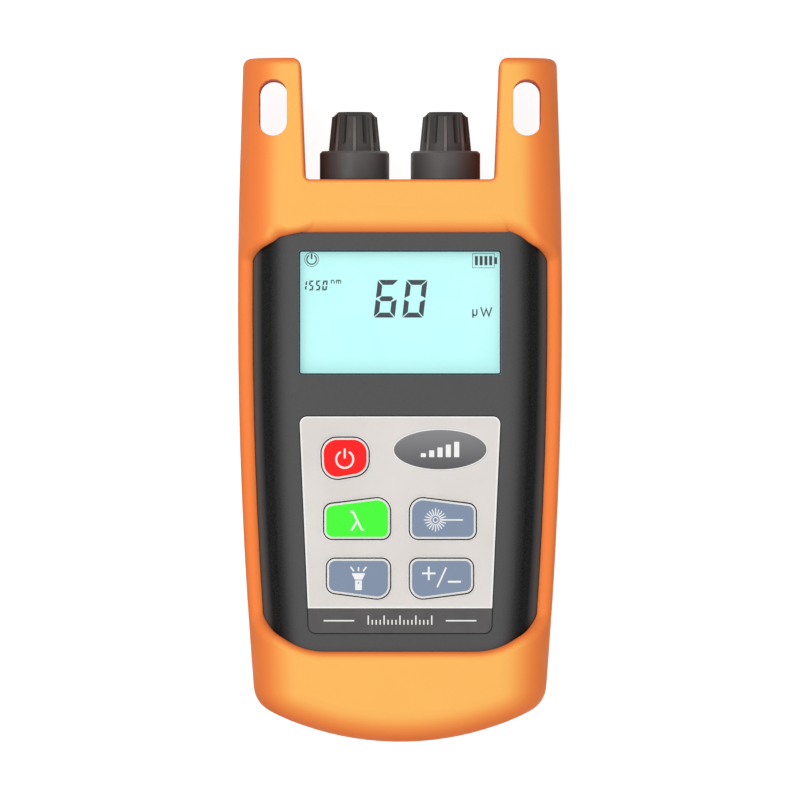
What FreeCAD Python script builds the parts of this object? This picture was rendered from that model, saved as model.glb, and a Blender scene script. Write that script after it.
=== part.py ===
import FreeCAD, Part

import math
import os
import re

import Sketcher
from FreeCAD import Placement, Rotation, Vector

# Handheld optical power meter with a fault-finding laser, in a rubber holster.
# It lies on its back: +X to the right, +Y towards the fibre ports, +Z out of the face.
# The origin is under the middle of the holster, on the surface that it lies on.

SIZES = {
    # Rubber holster
    "sleeveLength": 172.6,
    "sleeveWidth": 82.0,
    "sleeveDepth": 33.0,
    "sleeveWall": 2.5,
    "sleeveFit": 0.15,
    "lipHeight": 2.0,
    "lipRound": 2.1,
    "lipTopRound": 4.4,
    "lipBlend": 2.8,
    "sideBow": 1150.0,
    "waistPlace": 24.0,
    "chestPlace": 60.0,
    "hipPlace": 62.0,
    "footBow": 74.0,
    "frontRound": 12.0,
    "rearRound": 8.5,
    "footRound": 7.5,
    # Horns beside the ports, with their strap slots
    "hornLength": 30.7,
    "notchWidth": 47.8,
    "notchFlare": 1.2,
    "notchRound": 1.3,
    "hornLean": 4.5,
    "hornEdge": 1.0,
    "hornTip": 2.2,
    "slotWidth": 7.0,
    "slotLength": 14.2,
    "slotInset": 9.0,
    "slotDrop": 12.6,
    # Openings of the holster
    "windowTopGap": 4.6,
    "windowFootGap": 4.4,
    "windowStrip": 4.4,
    "windowShoulderInset": 13.5,
    "windowDrop": 5.0,
    "windowHipInset": 17.0,
    "windowRise": 6.0,
    "shoulderRound": 20.0,
    "hipRound": 18.0,
    "upperCorner": 4.5,
    "lowerCorner": 7.5,
    "rearOpeningWidth": 51.0,
    "rearOpeningTop": 30.0,
    "rearOpeningFootGap": 5.0,
    "rearOpeningCorner": 9.0,
    "rearOpeningEdge": 1.2,
    # Hard case
    "caseWall": 2.0,
    "faceRound": 12.0,
    "portHeight": 16.0,
    "plinthWidth": 45.0,
    "plinthLow": 5.5,
    "plinthHigh": 28.0,
    "plinthCorner": 4.0,
    "plinthGap": 0.4,
    "plinthShort": 0.1,
    # Display
    "displayWidth": 51.2,
    "displayHeight": 31.5,
    "displayDrop": 3.8,
    "displayCorner": 0.8,
    "windowMargin": 2.0,
    "windowStep": 0.6,
    "windowThickness": 1.2,
    "seatGap": 0.1,
    "glassMargin": 2.8,
    "glassLedge": 4.2,
    "glassGap": 0.5,
    "glassThickness": 2.4,
    "backlightThickness": 2.2,
    "frameWall": 1.1,
    "frameGap": 0.2,
    "frameRound": 1.5,
    "stripWidth": 2.0,
    "stripLength": 48.0,
    # Circuit board
    "boardDrop": 6.0,
    "boardThickness": 1.6,
    "boardTopGap": 3.5,
    "boardFoot": 58.0,
    "boardTopInset": 5.8,
    "boardFootInset": 8.8,
    "boardCorner": 2.0,
    "chipSize": 12.0,
    "chipThickness": 1.4,
    "chipPlace": 18.0,
    # Keypad overlay
    "overlayTop": 3.9,
    "overlayLength": 55.1,
    "overlayWidth": 51.2,
    "overlayTaper": 2.4,
    "overlayCorner": 2.1,
    "overlayRecess": 0.5,
    "overlayProud": 0.2,
    "overlayGroove": 0.25,
    "stripHeight": 6.5,
    "stripStep": 0.12,
    # Keys
    "keyMiddle": 2.2,
    "keyGap": 0.3,
    "keyProud": 1.1,
    "keyEdge": 0.35,
    "keyFlange": 0.8,
    "keyFlangeThickness": 1.0,
    "keyPlay": 0.2,
    "keyStem": 2.4,
    "keySlant": 2.1,
    "keyLean": 0.4,
    "keyCorner": 2.4,
    "keyBigCorner": 3.6,
    "powerKeyOuter": 20.2,
    "powerKeyWidth": 12.6,
    "powerKeyHeight": 11.7,
    "powerKeyDrop": 5.3,
    "powerKeyCorner": 4.2,
    "middleKeyWidth": 17.2,
    "middleKeyHeight": 11.3,
    "middleKeyDrop": 20.1,
    "lowerKeyWidth": 16.5,
    "lowerKeyHeight": 11.1,
    "lowerKeyDrop": 35.8,
    "matThickness": 1.0,
    "matMargin": 2.6,
    "matCorner": 2.0,
    "domeFoot": 4.2,
    "domeTop": 2.9,
    "domeWall": 0.6,
    "domePad": 0.9,
    "domeHeight": 1.4,
    # Battery compartment and door
    "cellLength": 50.5,
    "cellRadius": 7.25,
    "cellPitch": 15.0,
    "cellNub": 2.75,
    "cellNubHeight": 1.0,
    "cellEdge": 0.8,
    "cellGap": 0.3,
    "bayFootInset": 13.3,
    "bayLength": 59.0,
    "bayWidth": 45.6,
    "bayWall": 1.2,
    "bayRoof": 1.0,
    "fingerNotch": 12.0,
    "fingerNotchDepth": 1.0,
    "fingerNotchReach": 4.0,
    "saddleWidth": 11.0,
    "saddleDrop": 10.6,
    "saddleThickness": 1.6,
    "contactThickness": 0.6,
    "contactWidth": 9.0,
    "contactHeight": 11.0,
    "springThickness": 0.4,
    "springWidth": 5.0,
    "springHeight": 9.6,
    "springNose": 1.5,
    "doorThickness": 1.8,
    "doorGap": 0.3,
    "doorPin": 0.9,
    "doorPinLength": 1.0,
    "pinClearance": 0.05,
    "doorPinInset": 1.6,
    "gripWidth": 16.0,
    "gripLine": 0.9,
    "gripPitch": 2.2,
    "gripInset": 3.0,
    "gripProud": 0.5,
    # Fibre ports
    "portSpacing": 23.0,
    "collarRadius": 8.8,
    "collarHeight": 7.5,
    "collarChamfer": 0.6,
    "collarEdge": 0.4,
    "barrelRadius": 4.0,
    "barrelLength": 8.2,
    "barrelBore": 3.1,
    "barrelBoreDepth": 7.0,
    "barrelClearance": 0.1,
    "flangeRadius": 6.4,
    "flangeThickness": 1.5,
    "tailRadius": 3.4,
    "tailLength": 3.0,
    "tailBore": 1.0,
    "ribGap": 0.1,
    "ribThickness": 1.2,
    "ribSpan": 38.0,
    "holderWall": 0.7,
    "holderSetback": 0.8,
    "keyway": 2.2,
    "keywayDepth": 2.5,
    "ferruleRadius": 1.25,
    "ferruleWall": 0.35,
    "ferruleLength": 11.4,
    "ferruleSlit": 0.3,
    "ferrulePlay": 0.02,
    "detectorRadius": 4.1,
    "detectorLength": 4.2,
    "detectorRim": 4.6,
    "detectorRimThickness": 1.0,
    "laserRadius": 4.5,
    "laserLength": 18.0,
    "torchRadius": 2.5,
    "torchHeight": 24.3,
    "torchRim": 2.9,
    "torchRimThickness": 1.0,
    "torchSink": 0.3,
    "torchClearance": 0.1,
    # Dust caps
    "capFoot": 6.25,
    "capTop": 5.4,
    "capHeight": 9.9,
    "capChamfer": 1.2,
    "capRoof": 1.6,
    "ribWidth": 0.7,
    "ribProud": 0.3,
    "fluteRadius": 1.0,
    "fluteDepth": 0.42,
    "fluteFoot": 2.6,
    "fluteTurn": 28.5,
    # Screws
    "caseBoss": 3.0,
    "caseScrewShank": 1.4,
    "caseScrewHead": 2.6,
    "caseScrewHeadHeight": 1.8,
    "caseScrewReach": 15.0,
    "caseScrewSeat": 6.0,
    "caseScrewHeadGap": 0.3,
    "caseScrewTopInset": 9.9,
    "caseScrewTopDrop": 7.3,
    "caseScrewFootInset": 12.9,
    "caseScrewFootY": 65.5,
    "boardBoss": 2.4,
    "boardScrewShank": 0.95,
    "boardScrewHead": 1.9,
    "boardScrewHeadHeight": 1.2,
    "boardScrewReach": 4.5,
    "boardScrewTopInset": 8.4,
    "boardScrewTopDrop": 6.8,
    "boardScrewFootInset": 12.0,
    "boardScrewFootY": 50.0,
    "pilotSpare": 0.6,
    "screwPlay": 0.02,
    "screwClearance": 0.2,
}

# Places that several pieces share, worked out from the sizes above.
TIP = "(sleeveLength / 2)"
SHOULDER = "(sleeveLength / 2 - hornLength)"
FACE = "(sleeveDepth - lipHeight)"
BACK = "sleeveWall"
CASE_INSET = "(sleeveWall + sleeveFit)"
CASE_TOP = "(sleeveLength / 2 - hornLength - sleeveWall)"
PLINTH_TOP = "(sleeveLength / 2 - hornLength - plinthShort)"
HOLLOW_INSET = "(sleeveWall + sleeveFit + caseWall)"
INNER_FACE = "(sleeveDepth - lipHeight - caseWall)"
INNER_BACK = "(sleeveWall + caseWall)"
INNER_TOP = "(sleeveLength / 2 - hornLength - sleeveWall - caseWall)"
BOARD_FRONT = "(sleeveDepth - lipHeight - caseWall - boardDrop)"
BOARD_REAR = "(sleeveDepth - lipHeight - caseWall - boardDrop - boardThickness)"
DISPLAY_MIDDLE = "((sleeveLength / 2 - hornLength - overlayTop) / 2 - displayDrop)"
DISPLAY_FOOT = f"({DISPLAY_MIDDLE} - displayHeight / 2)"
DISPLAY_TOP = f"({DISPLAY_MIDDLE} + displayHeight / 2)"
GLASS_REAR = f"({BOARD_FRONT} + backlightThickness)"
GLASS_FRONT = f"({BOARD_FRONT} + backlightThickness + glassThickness)"
GLASS_TOP = f"({DISPLAY_TOP} + glassMargin)"
GLASS_FOOT = f"({DISPLAY_FOOT} - glassLedge)"
GLASS_SIDE = "(displayWidth / 2 + glassMargin)"
RECESS_FLOOR = f"({FACE} - overlayRecess)"
OVERLAY_FOOT = "(overlayTop + overlayLength)"
WINDOW_TOP = f"({DISPLAY_TOP} + windowTopGap)"
WINDOW_FOOT = f"({OVERLAY_FOOT} + windowFootGap)"
WINDOW_SHOULDER = "(sleeveWidth / 2 - windowShoulderInset)"
WINDOW_HIP = "(sleeveWidth / 2 - windowHipInset)"
KEY_TOP = f"({FACE} + overlayProud + keyProud)"
KEY_SHELF = f"({INNER_FACE} - keyPlay)"
STEM_FOOT = f"({BOARD_FRONT} + matThickness + domePad + domeHeight)"
BAY_FOOT = "(sleeveLength / 2 - bayFootInset)"
BAY_TOP = f"({BAY_FOOT} - bayLength)"
CELL_HEIGHT = "(sleeveWall + doorThickness + cellGap + cellRadius)"
BAY_ROOF = f"({CELL_HEIGHT} + cellRadius + cellGap)"
COLLAR_TOP = f"({PLINTH_TOP} + collarHeight)"
BARREL_TOP = f"({COLLAR_TOP} + barrelLength)"
HOLDER_TOP = f"({BARREL_TOP} - holderSetback)"
HOLDER_BORE = "(ferruleRadius + ferruleWall + ferrulePlay)"
FLANGE_FOOT = f"({INNER_TOP} - flangeThickness)"
TAIL_FOOT = f"({INNER_TOP} - flangeThickness - tailLength)"
RIB_FOOT = f"({FLANGE_FOOT} - ribGap - ribThickness)"
BOARD_TOP = f"({RIB_FOOT} - boardTopGap)"
SADDLE_PLACE = f"({TAIL_FOOT} - saddleDrop)"
REAR_OPENING_FOOT = f"({BAY_FOOT} + rearOpeningFootGap)"
PIN_PLACE = f"({BAY_FOOT} - doorPinInset)"
PIN_HEIGHT = "(sleeveWall + doorThickness / 2)"
SCREW_SEAT = f"({BACK} + caseScrewSeat)"

doc = FreeCAD.newDocument("power_meter")
sheet = doc.addObject("Spreadsheet::Sheet", "Sizes")
for row, (size_name, size) in enumerate(SIZES.items(), 1):
    sheet.set(f"A{row}", size_name)
    sheet.set(f"B{row}", str(size))
    sheet.setAlias(f"B{row}", size_name)
doc.recompute()

WORD = re.compile(r"[A-Za-z]\w*")
FULL_TURN = 360


def formula(text):
    """The text with every size's name pointed at the sheet."""
    return WORD.sub(lambda word: "Sizes." + word[0] if word[0] in SIZES else word[0], text)


def value(text):
    """The number that a text of sizes gives now."""
    return float(sheet.evalExpression(formula(text)))


def bind(thing, property_name, text):
    """Tie a property to the sheet, and keep it tied when a size changes."""
    thing.setExpression(property_name, formula(text))


# ---------------------------------------------------------------- sketches


def new_sketch(body, name, role="XY_Plane", offset="0"):
    """A sketch on one of the body's own planes, moved out along +X, +Y or +Z."""
    sketch = body.newObject("Sketcher::SketchObject", name)
    plane = next(part for part in body.Origin.OriginFeatures if part.Role == role)
    sketch.AttachmentSupport = [(plane, "")]
    sketch.MapMode = "FlatFace"
    direction = "-1" if role == "XZ_Plane" else "1"
    bind(sketch, "AttachmentOffset.Base.z", f"{direction} * ({offset})")
    return sketch


def constrain(sketch, kind, *target, size=None):
    """Add a constraint, tied to a size where it has one."""
    if size is None:
        sketch.addConstraint(Sketcher.Constraint(kind, *target))
        return
    index = sketch.addConstraint(Sketcher.Constraint(kind, *target, value(size)))
    bind(sketch, f"Constraints[{index}]", size)


def fix_point(sketch, geometry, end, x, y):
    """Hold a point of the sketch at x and y; a place that starts with ~ is only a first guess."""
    for kind, axis, text in (("DistanceX", -2, x), ("DistanceY", -1, y)):
        if text == "0":
            constrain(sketch, "PointOnObject", geometry, end, axis)
        elif not text.startswith("~"):
            constrain(sketch, kind, -1, 1, geometry, end, size=text)


def guess(point):
    """Where a corner is, or is first taken to be."""
    return Vector(value(point[0].lstrip("~")), value(point[1].lstrip("~")), 0)


def arc_side(sketch, start, end, centre_x, centre_y, radius):
    """A side that is an anticlockwise arc."""
    centre = guess((centre_x, centre_y))
    first = math.atan2(start.y - centre.y, start.x - centre.x)
    last = math.atan2(end.y - centre.y, end.x - centre.x)
    if last < first:
        last += 2 * math.pi
    circle = Part.Circle(centre, Vector(0, 0, 1), value(radius))
    side = sketch.addGeometry(Part.ArcOfCircle(circle, first, last))
    fix_point(sketch, side, 3, centre_x, centre_y)
    constrain(sketch, "Radius", side, size=radius)
    return side


def closed_outline(sketch, corners, bows=None):
    """Sides between corners, anticlockwise. A corner is x and y, and a third word makes it smooth.
    bows gives the centre and radius of each side that is an arc."""
    bows = bows or {}
    points = [guess(corner) for corner in corners]
    sides = []
    for index, start in enumerate(points):
        end = points[(index + 1) % len(points)]
        if index in bows:
            sides.append(arc_side(sketch, start, end, *bows[index]))
        else:
            sides.append(sketch.addGeometry(Part.LineSegment(start, end)))
    for index, (x, y, *smooth) in enumerate(corners):
        meeting = "Tangent" if smooth else "Coincident"
        constrain(sketch, meeting, sides[index - 1], 2, sides[index], 1)
        fix_point(sketch, sides[index], 1, x, y)


def rounded_outline(sketch, corners):
    """Straight sides whose corners, each x, y and radius, are rounded."""
    points = [guess(corner) for corner in corners]
    radii = [value(corner[2]) for corner in corners]
    turns = []
    for index, point in enumerate(points):
        towards = (points[index - 1] - point).normalize()
        onwards = (points[(index + 1) % len(points)] - point).normalize()
        half = towards.getAngle(onwards) / 2
        reach = radii[index] / math.tan(half)
        middle = point + (towards + onwards).normalize() * (radii[index] / math.sin(half))
        turns.append((point + towards * reach, point + onwards * reach, middle))
    lines = []
    for index, turn in enumerate(turns):
        start = turn[1]
        end = turns[(index + 1) % len(turns)][0]
        lines.append(sketch.addGeometry(Part.LineSegment(start, end)))
    for index, (arrive, leave, middle) in enumerate(turns):
        before = lines[index - 1]
        after = lines[index]
        circle = Part.Circle(middle, Vector(0, 0, 1), radii[index])
        turns_left = (arrive - middle).cross(leave - middle).z > 0
        first, last = (arrive, leave) if turns_left else (leave, arrive)
        start_angle = math.atan2(first.y - middle.y, first.x - middle.x)
        end_angle = math.atan2(last.y - middle.y, last.x - middle.x)
        if end_angle < start_angle:
            end_angle += 2 * math.pi
        arc = sketch.addGeometry(Part.ArcOfCircle(circle, start_angle, end_angle))
        corner = sketch.addGeometry(Part.Point(points[index]), True)
        fix_point(sketch, corner, 1, corners[index][0], corners[index][1])
        constrain(sketch, "PointOnObject", corner, 1, before)
        constrain(sketch, "PointOnObject", corner, 1, after)
        constrain(sketch, "Tangent", before, 2, arc, 1 if turns_left else 2)
        constrain(sketch, "Tangent", after, 1, arc, 2 if turns_left else 1)
        constrain(sketch, "Radius", arc, size=corners[index][2])


def rectangle_corners(left, right, low, high, radius=None):
    """The corners of a rectangle, anticlockwise, with their radius where they are round."""
    corners = [(left, low), (right, low), (right, high), (left, high)]
    return [corner + (radius,) for corner in corners] if radius else corners


def circle_at(sketch, x, y, radius):
    """A circle whose centre and radius are held."""
    circle = sketch.addGeometry(Part.Circle(guess((x, y)), Vector(0, 0, 1), value(radius)))
    fix_point(sketch, circle, 3, x, y)
    constrain(sketch, "Radius", circle, size=radius)


def slot_at(sketch, x, low, high, radius):
    """An upright slot with round ends centred at low and high."""
    top = guess((x, high))
    bottom = guess((x, low))
    size = value(radius)
    side = Vector(size, 0, 0)
    upper = sketch.addGeometry(
        Part.ArcOfCircle(Part.Circle(top, Vector(0, 0, 1), size), 0, math.pi)
    )
    lower = sketch.addGeometry(
        Part.ArcOfCircle(Part.Circle(bottom, Vector(0, 0, 1), size), math.pi, 2 * math.pi)
    )
    left = sketch.addGeometry(Part.LineSegment(top - side, bottom - side))
    right = sketch.addGeometry(Part.LineSegment(bottom + side, top + side))
    constrain(sketch, "Tangent", upper, 2, left, 1)
    constrain(sketch, "Tangent", left, 2, lower, 1)
    constrain(sketch, "Tangent", lower, 2, right, 1)
    constrain(sketch, "Tangent", right, 2, upper, 1)
    fix_point(sketch, upper, 3, x, high)
    fix_point(sketch, lower, 3, x, low)
    constrain(sketch, "Radius", upper, size=radius)


# ---------------------------------------------------------------- features


def new_body(name):
    """An empty body."""
    return doc.addObject("PartDesign::Body", name)


def pad(body, sketch, length, both_ways=False, flip=False):
    """Raise a sketch into a solid."""
    feature = body.newObject("PartDesign::Pad", sketch.Name + "_pad")
    feature.Profile = sketch
    feature.Midplane = both_ways
    feature.Reversed = flip
    bind(feature, "Length", length)
    doc.recompute()
    return feature


def pocket(body, sketch, length, both_ways=False, flip=False):
    """Sink a sketch into the solid, and make sure that it took something away."""
    before = body.Shape.Volume
    feature = body.newObject("PartDesign::Pocket", sketch.Name + "_pocket")
    feature.Profile = sketch
    feature.Midplane = both_ways
    feature.Reversed = flip
    bind(feature, "Length", length)
    doc.recompute()
    if body.Shape.Volume >= before:
        raise RuntimeError(f"{feature.Name} cuts nothing")
    return feature


def turn(body, sketch, groove=False, axis="V_Axis"):
    """Turn a sketch about an axis of its own, into a solid or out of one."""
    kind = "PartDesign::Groove" if groove else "PartDesign::Revolution"
    feature = body.newObject(kind, sketch.Name + "_turned")
    feature.Profile = sketch
    feature.ReferenceAxis = (sketch, [axis])
    feature.Angle = FULL_TURN
    doc.recompute()
    return feature


def polar(body, original, sketch, count):
    """Repeat a feature round the sketch's upright axis."""
    feature = body.newObject("PartDesign::PolarPattern", original.Name + "_ring")
    feature.Originals = [original]
    feature.Axis = (sketch, ["V_Axis"])
    feature.Angle = FULL_TURN
    feature.Occurrences = count
    body.Tip = feature
    doc.recompute()
    return feature


def soften(body, name, choose, size, kind="Fillet"):
    """Fillet or chamfer the edges of the body's last feature that choose accepts."""
    base = body.Tip
    edges = [f"Edge{number}" for number, edge in enumerate(base.Shape.Edges, 1) if choose(edge)]
    if not edges:
        raise RuntimeError(f"{name} finds no edge")
    feature = body.newObject(f"PartDesign::{kind}", name)
    feature.Base = (base, edges)
    bind(feature, "Radius" if kind == "Fillet" else "Size", size)
    doc.recompute()
    return feature


NEAR = 1e-4
LOOSE = 0.05


def lies_at(edge, axis, place):
    """True if the whole edge lies in the plane where axis has this value."""
    box = edge.BoundBox
    low, high = getattr(box, axis + "Min"), getattr(box, axis + "Max")
    return abs(low - place) < NEAR * 10 and abs(high - place) < NEAR * 10


def upright_at(edge, x, y, reach=LOOSE):
    """True if the edge runs along Z near x and y."""
    box = edge.BoundBox
    thin = box.XLength < NEAR and box.YLength < NEAR and box.ZLength > NEAR
    return thin and abs(box.Center.x - x) < reach and abs(box.Center.y - y) < reach


# ---------------------------------------------------------------- primitives and booleans


def box(name, left, right, near, far, low, high):
    """A block between its six places."""
    block = doc.addObject("Part::Box", name)
    bind(block, "Length", f"{right} - ({left})")
    bind(block, "Width", f"{far} - ({near})")
    bind(block, "Height", f"{high} - ({low})")
    bind(block, "Placement.Base.x", left)
    bind(block, "Placement.Base.y", near)
    bind(block, "Placement.Base.z", low)
    return block


ALONG_X = Rotation(Vector(0, 1, 0), 90)
ALONG_Y = Rotation(Vector(1, 0, 0), -90)
ALONG_Z = Rotation()


def rod(name, x, y, z, length, radius, along=ALONG_Z, top_radius=None):
    """A round rod, or a cone where top_radius is given, that starts at x, y and z."""
    piece = doc.addObject("Part::Cone" if top_radius else "Part::Cylinder", name)
    piece.Placement = Placement(Vector(), along)
    bind(piece, "Height", length)
    bind(piece, "Radius1" if top_radius else "Radius", radius)
    if top_radius:
        bind(piece, "Radius2", top_radius)
    bind(piece, "Placement.Base.x", x)
    bind(piece, "Placement.Base.y", y)
    bind(piece, "Placement.Base.z", z)
    return piece


def together(name, *pieces):
    """Several pieces as one."""
    if len(pieces) == 1:
        return pieces[0]
    union = doc.addObject("Part::MultiFuse", name)
    union.Shapes = list(pieces)
    return union


def without(name, base, *tools):
    """The base with the tools taken out of it."""
    result = doc.addObject("Part::Cut", name)
    result.Base = base
    result.Tool = together(name + "_tools", *tools)
    return result


def shared(name, first, second):
    """What two pieces have in common."""
    result = doc.addObject("Part::Common", name)
    result.Base = first
    result.Tool = second
    return result


NODES = []


def node(label, thing, solids=1):
    """Name a finished piece and keep it for the export, with the solids that it should hold."""
    thing.Label = label
    NODES.append((thing, label, solids))
    return thing


# ---------------------------------------------------------------- the bowed slab


def side_bows(inset):
    """The arcs of the holster's right and left sides, moved in by inset."""
    centre = "(sideBow - sleeveWidth / 2)"
    radius = f"(sideBow - {inset})"
    return ("-" + centre, "waistPlace", radius), (centre, "waistPlace", radius)


def slab_outline(sketch, inset):
    """The plan of the holster's sides, moved in, with a straight top and run on past the foot.
    Each side is an arc that runs on straight at both ends."""
    half = f"(sleeveWidth / 2 - {inset})"
    foot = f"-({TIP} + footRound)"
    corners = [
        (f"~({half} - 5)", foot),
        (f"~({half} - 2.7)", "-hipPlace", "smooth"),
        (f"~({half} - 0.5)", "chestPlace", "smooth"),
        (f"~({half} - 1.4)", TIP),
        (f"~(1.4 - {half})", TIP),
        (f"~(0.5 - {half})", "chestPlace", "smooth"),
        (f"~(2.7 - {half})", "-hipPlace", "smooth"),
        (f"~(5 - {half})", foot),
    ]
    right, left = side_bows(inset)
    closed_outline(sketch, corners, {1: right, 5: left})


def cut_foot(body, name, inset):
    """Cut the foot to its bow."""
    sketch = new_sketch(body, name + "_foot")
    half = "(sleeveWidth / 2)"
    beyond = f"-({TIP} + 2 * footRound)"
    bow = ("0", f"footBow - {TIP}", f"footBow - {inset}")
    meeting = f"~({half} / 3 - {TIP})"
    corners = [("-" + half, meeting), (half, meeting), (half, beyond), ("-" + half, beyond)]
    closed_outline(sketch, corners, {0: bow})
    pocket(body, sketch, "sleeveDepth", flip=True)


def slab(name, inset, low, high, rounds):
    """A solid of that plan whose front, rear and foot edges are rounded."""
    body = new_body(name)
    sketch = new_sketch(body, name + "_outline", offset=low)
    slab_outline(sketch, inset)
    doc.recompute()
    pad(body, sketch, f"{high} - ({low})")
    quarter = value("sleeveWidth / 4")
    front, rear, foot = rounds
    for side, place, radius in (("front", high, front), ("rear", low, rear)):
        height = value(place)
        soften(
            body,
            f"{name}_{side}_round",
            lambda edge: lies_at(edge, "Z", height) and abs(edge.BoundBox.Center.x) > quarter,
            radius,
        )
    cut_foot(body, name, inset)
    bow = value(f"footBow - {inset}")
    faces = [face for face in body.Shape.Faces if is_round(face, bow)]
    rim = [edge.BoundBox for face in faces for edge in face.Edges]
    highest = max(box_.YMax for box_ in rim) + LOOSE
    soften(body, name + "_foot_round", lambda edge: edge.BoundBox.YMax < highest, foot)
    return body


def is_round(face, radius):
    """True for a face on a cylinder of this radius."""
    return isinstance(face.Surface, Part.Cylinder) and abs(face.Surface.Radius - radius) < NEAR


def case_slab(name, inset):
    """The hard case's form, or its hollow, moved in by inset from the holster's outside."""
    deeper = f"({inset} - {CASE_INSET})"
    body = slab(
        name,
        inset,
        f"{BACK} + {deeper}",
        f"{FACE} - {deeper}",
        (f"faceRound - {deeper}", f"rearRound - {inset}", f"footRound - {inset}"),
    )
    sketch = new_sketch(body, name + "_top")
    top = f"{CASE_TOP} - {deeper}"
    beyond = f"{TIP} + sleeveWall"
    closed_outline(sketch, rectangle_corners("-sleeveWidth", "sleeveWidth", top, beyond))
    pocket(body, sketch, "sleeveDepth", flip=True)
    return body


# ---------------------------------------------------------------- rubber holster


def rubber_holster():
    """One moulding: bowed sides, two horns with strap slots, a window, a port cut-out, an open back."""
    body = slab("sleeve", "0", "0", "sleeveDepth", ("frontRound", "rearRound", "footRound"))
    beyond = f"({TIP} + sleeveWall)"
    cut_notch(body, beyond)
    lean_horns(body, beyond)
    soften_horns(body)
    cut_strap_slots(body)
    cut_window(body)
    cut_port_opening(body)
    cut_rear_opening(body)
    lip = round_lip(body)
    cavity = case_slab("sleeve_cavity", "sleeveWall")
    node("rubber_holster", without("holster_moulding", lip, cavity))


def cut_notch(body, beyond):
    """The space between the horns, a little wider at the tips."""
    sketch = new_sketch(body, "notch")
    inner = "(notchWidth / 2)"
    outer = "(notchWidth / 2 + notchFlare)"
    corners = [
        ("-" + inner, SHOULDER),
        (inner, SHOULDER),
        (outer, TIP),
        (outer, beyond),
        ("-" + outer, beyond),
        ("-" + outer, TIP),
    ]
    closed_outline(sketch, corners)
    pocket(body, sketch, "sleeveDepth", flip=True)


def lean_horns(body, beyond):
    """The horns grow thinner towards their tips, at the rear."""
    foot = f"({SHOULDER} + 2 * notchRound)"
    sketch = new_sketch(body, "horn_rear", "YZ_Plane")
    corners = [
        (foot, "0"),
        (TIP, "hornLean"),
        (beyond, "hornLean"),
        (beyond, "-sleeveWall"),
        (foot, "-sleeveWall"),
    ]
    closed_outline(sketch, corners)
    pocket(body, sketch, "2 * sleeveWidth", both_ways=True)


def soften_horns(body):
    """Round the notch's corners, the horns' tips and the edges of the notch."""
    half = value("notchWidth / 2")
    shoulder = value(SHOULDER)
    tip = value(TIP)
    flare = value("notchFlare")
    soften(
        body,
        "notch_round",
        lambda edge: upright_at(edge, half, shoulder) or upright_at(edge, -half, shoulder),
        "notchRound",
    )
    soften(body, "horn_tips", lambda edge: lies_at(edge, "Y", tip), "hornTip")

    def on_notch(edge):
        box_ = edge.BoundBox
        low_part = box_.YMin > shoulder - NEAR and box_.ZLength < box_.YLength / 4
        inner = abs(box_.Center.x) < half + flare and box_.YLength > tip / 5
        return low_part and inner

    soften(body, "notch_edges", on_notch, "hornEdge")


def cut_strap_slots(body):
    """An upright slot through each horn."""
    sketch = new_sketch(body, "strap_slots")
    middle = f"({TIP} - slotDrop)"
    reach = "(slotLength / 2 - slotWidth / 2)"
    for x in ("slotInset - sleeveWidth / 2", "sleeveWidth / 2 - slotInset"):
        slot_at(sketch, x, f"{middle} - {reach}", f"{middle} + {reach}", "slotWidth / 2")
    pocket(body, sketch, "sleeveDepth", flip=True)


def cut_window(body):
    """The opening over the case's face, with broad shoulders and hips and a round lip."""
    sketch = new_sketch(body, "window", offset="sleeveDepth")
    side = "(sleeveWidth / 2 - windowStrip)"
    neck = f"({WINDOW_TOP} - windowDrop)"
    hip = f"(windowRise - {WINDOW_FOOT})"
    corners = [
        (f"~({side} - 3.2)", hip),
        (f"~({side} - 0.1)", neck),
        (WINDOW_SHOULDER, WINDOW_TOP),
        ("-" + WINDOW_SHOULDER, WINDOW_TOP),
        (f"~(0.1 - {side})", neck),
        (f"~(3.2 - {side})", hip),
        ("-" + WINDOW_HIP, "-" + WINDOW_FOOT),
        (WINDOW_HIP, "-" + WINDOW_FOOT),
    ]
    right, left = side_bows("windowStrip")
    closed_outline(sketch, corners, {0: right, 4: left})
    doc.recompute()
    marks = [(vertex.X, vertex.Y) for vertex in sketch.Shape.Vertexes]
    pocket(body, sketch, "faceRound - lipHeight")
    for name, test, radius in (
        ("window_shoulders", lambda y: abs(y - value(WINDOW_TOP)) < NEAR * 10, "shoulderRound"),
        ("window_hips", lambda y: abs(y + value(WINDOW_FOOT)) < NEAR * 10, "hipRound"),
        ("window_upper", lambda y: abs(y - value(neck)) < NEAR * 10, "upperCorner"),
        ("window_lower", lambda y: abs(y - value(hip)) < NEAR * 10, "lowerCorner"),
    ):
        places = [mark for mark in marks if test(mark[1])]
        soften(
            body,
            name,
            lambda edge: any(upright_at(edge, *place) for place in places),
            radius,
        )


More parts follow.
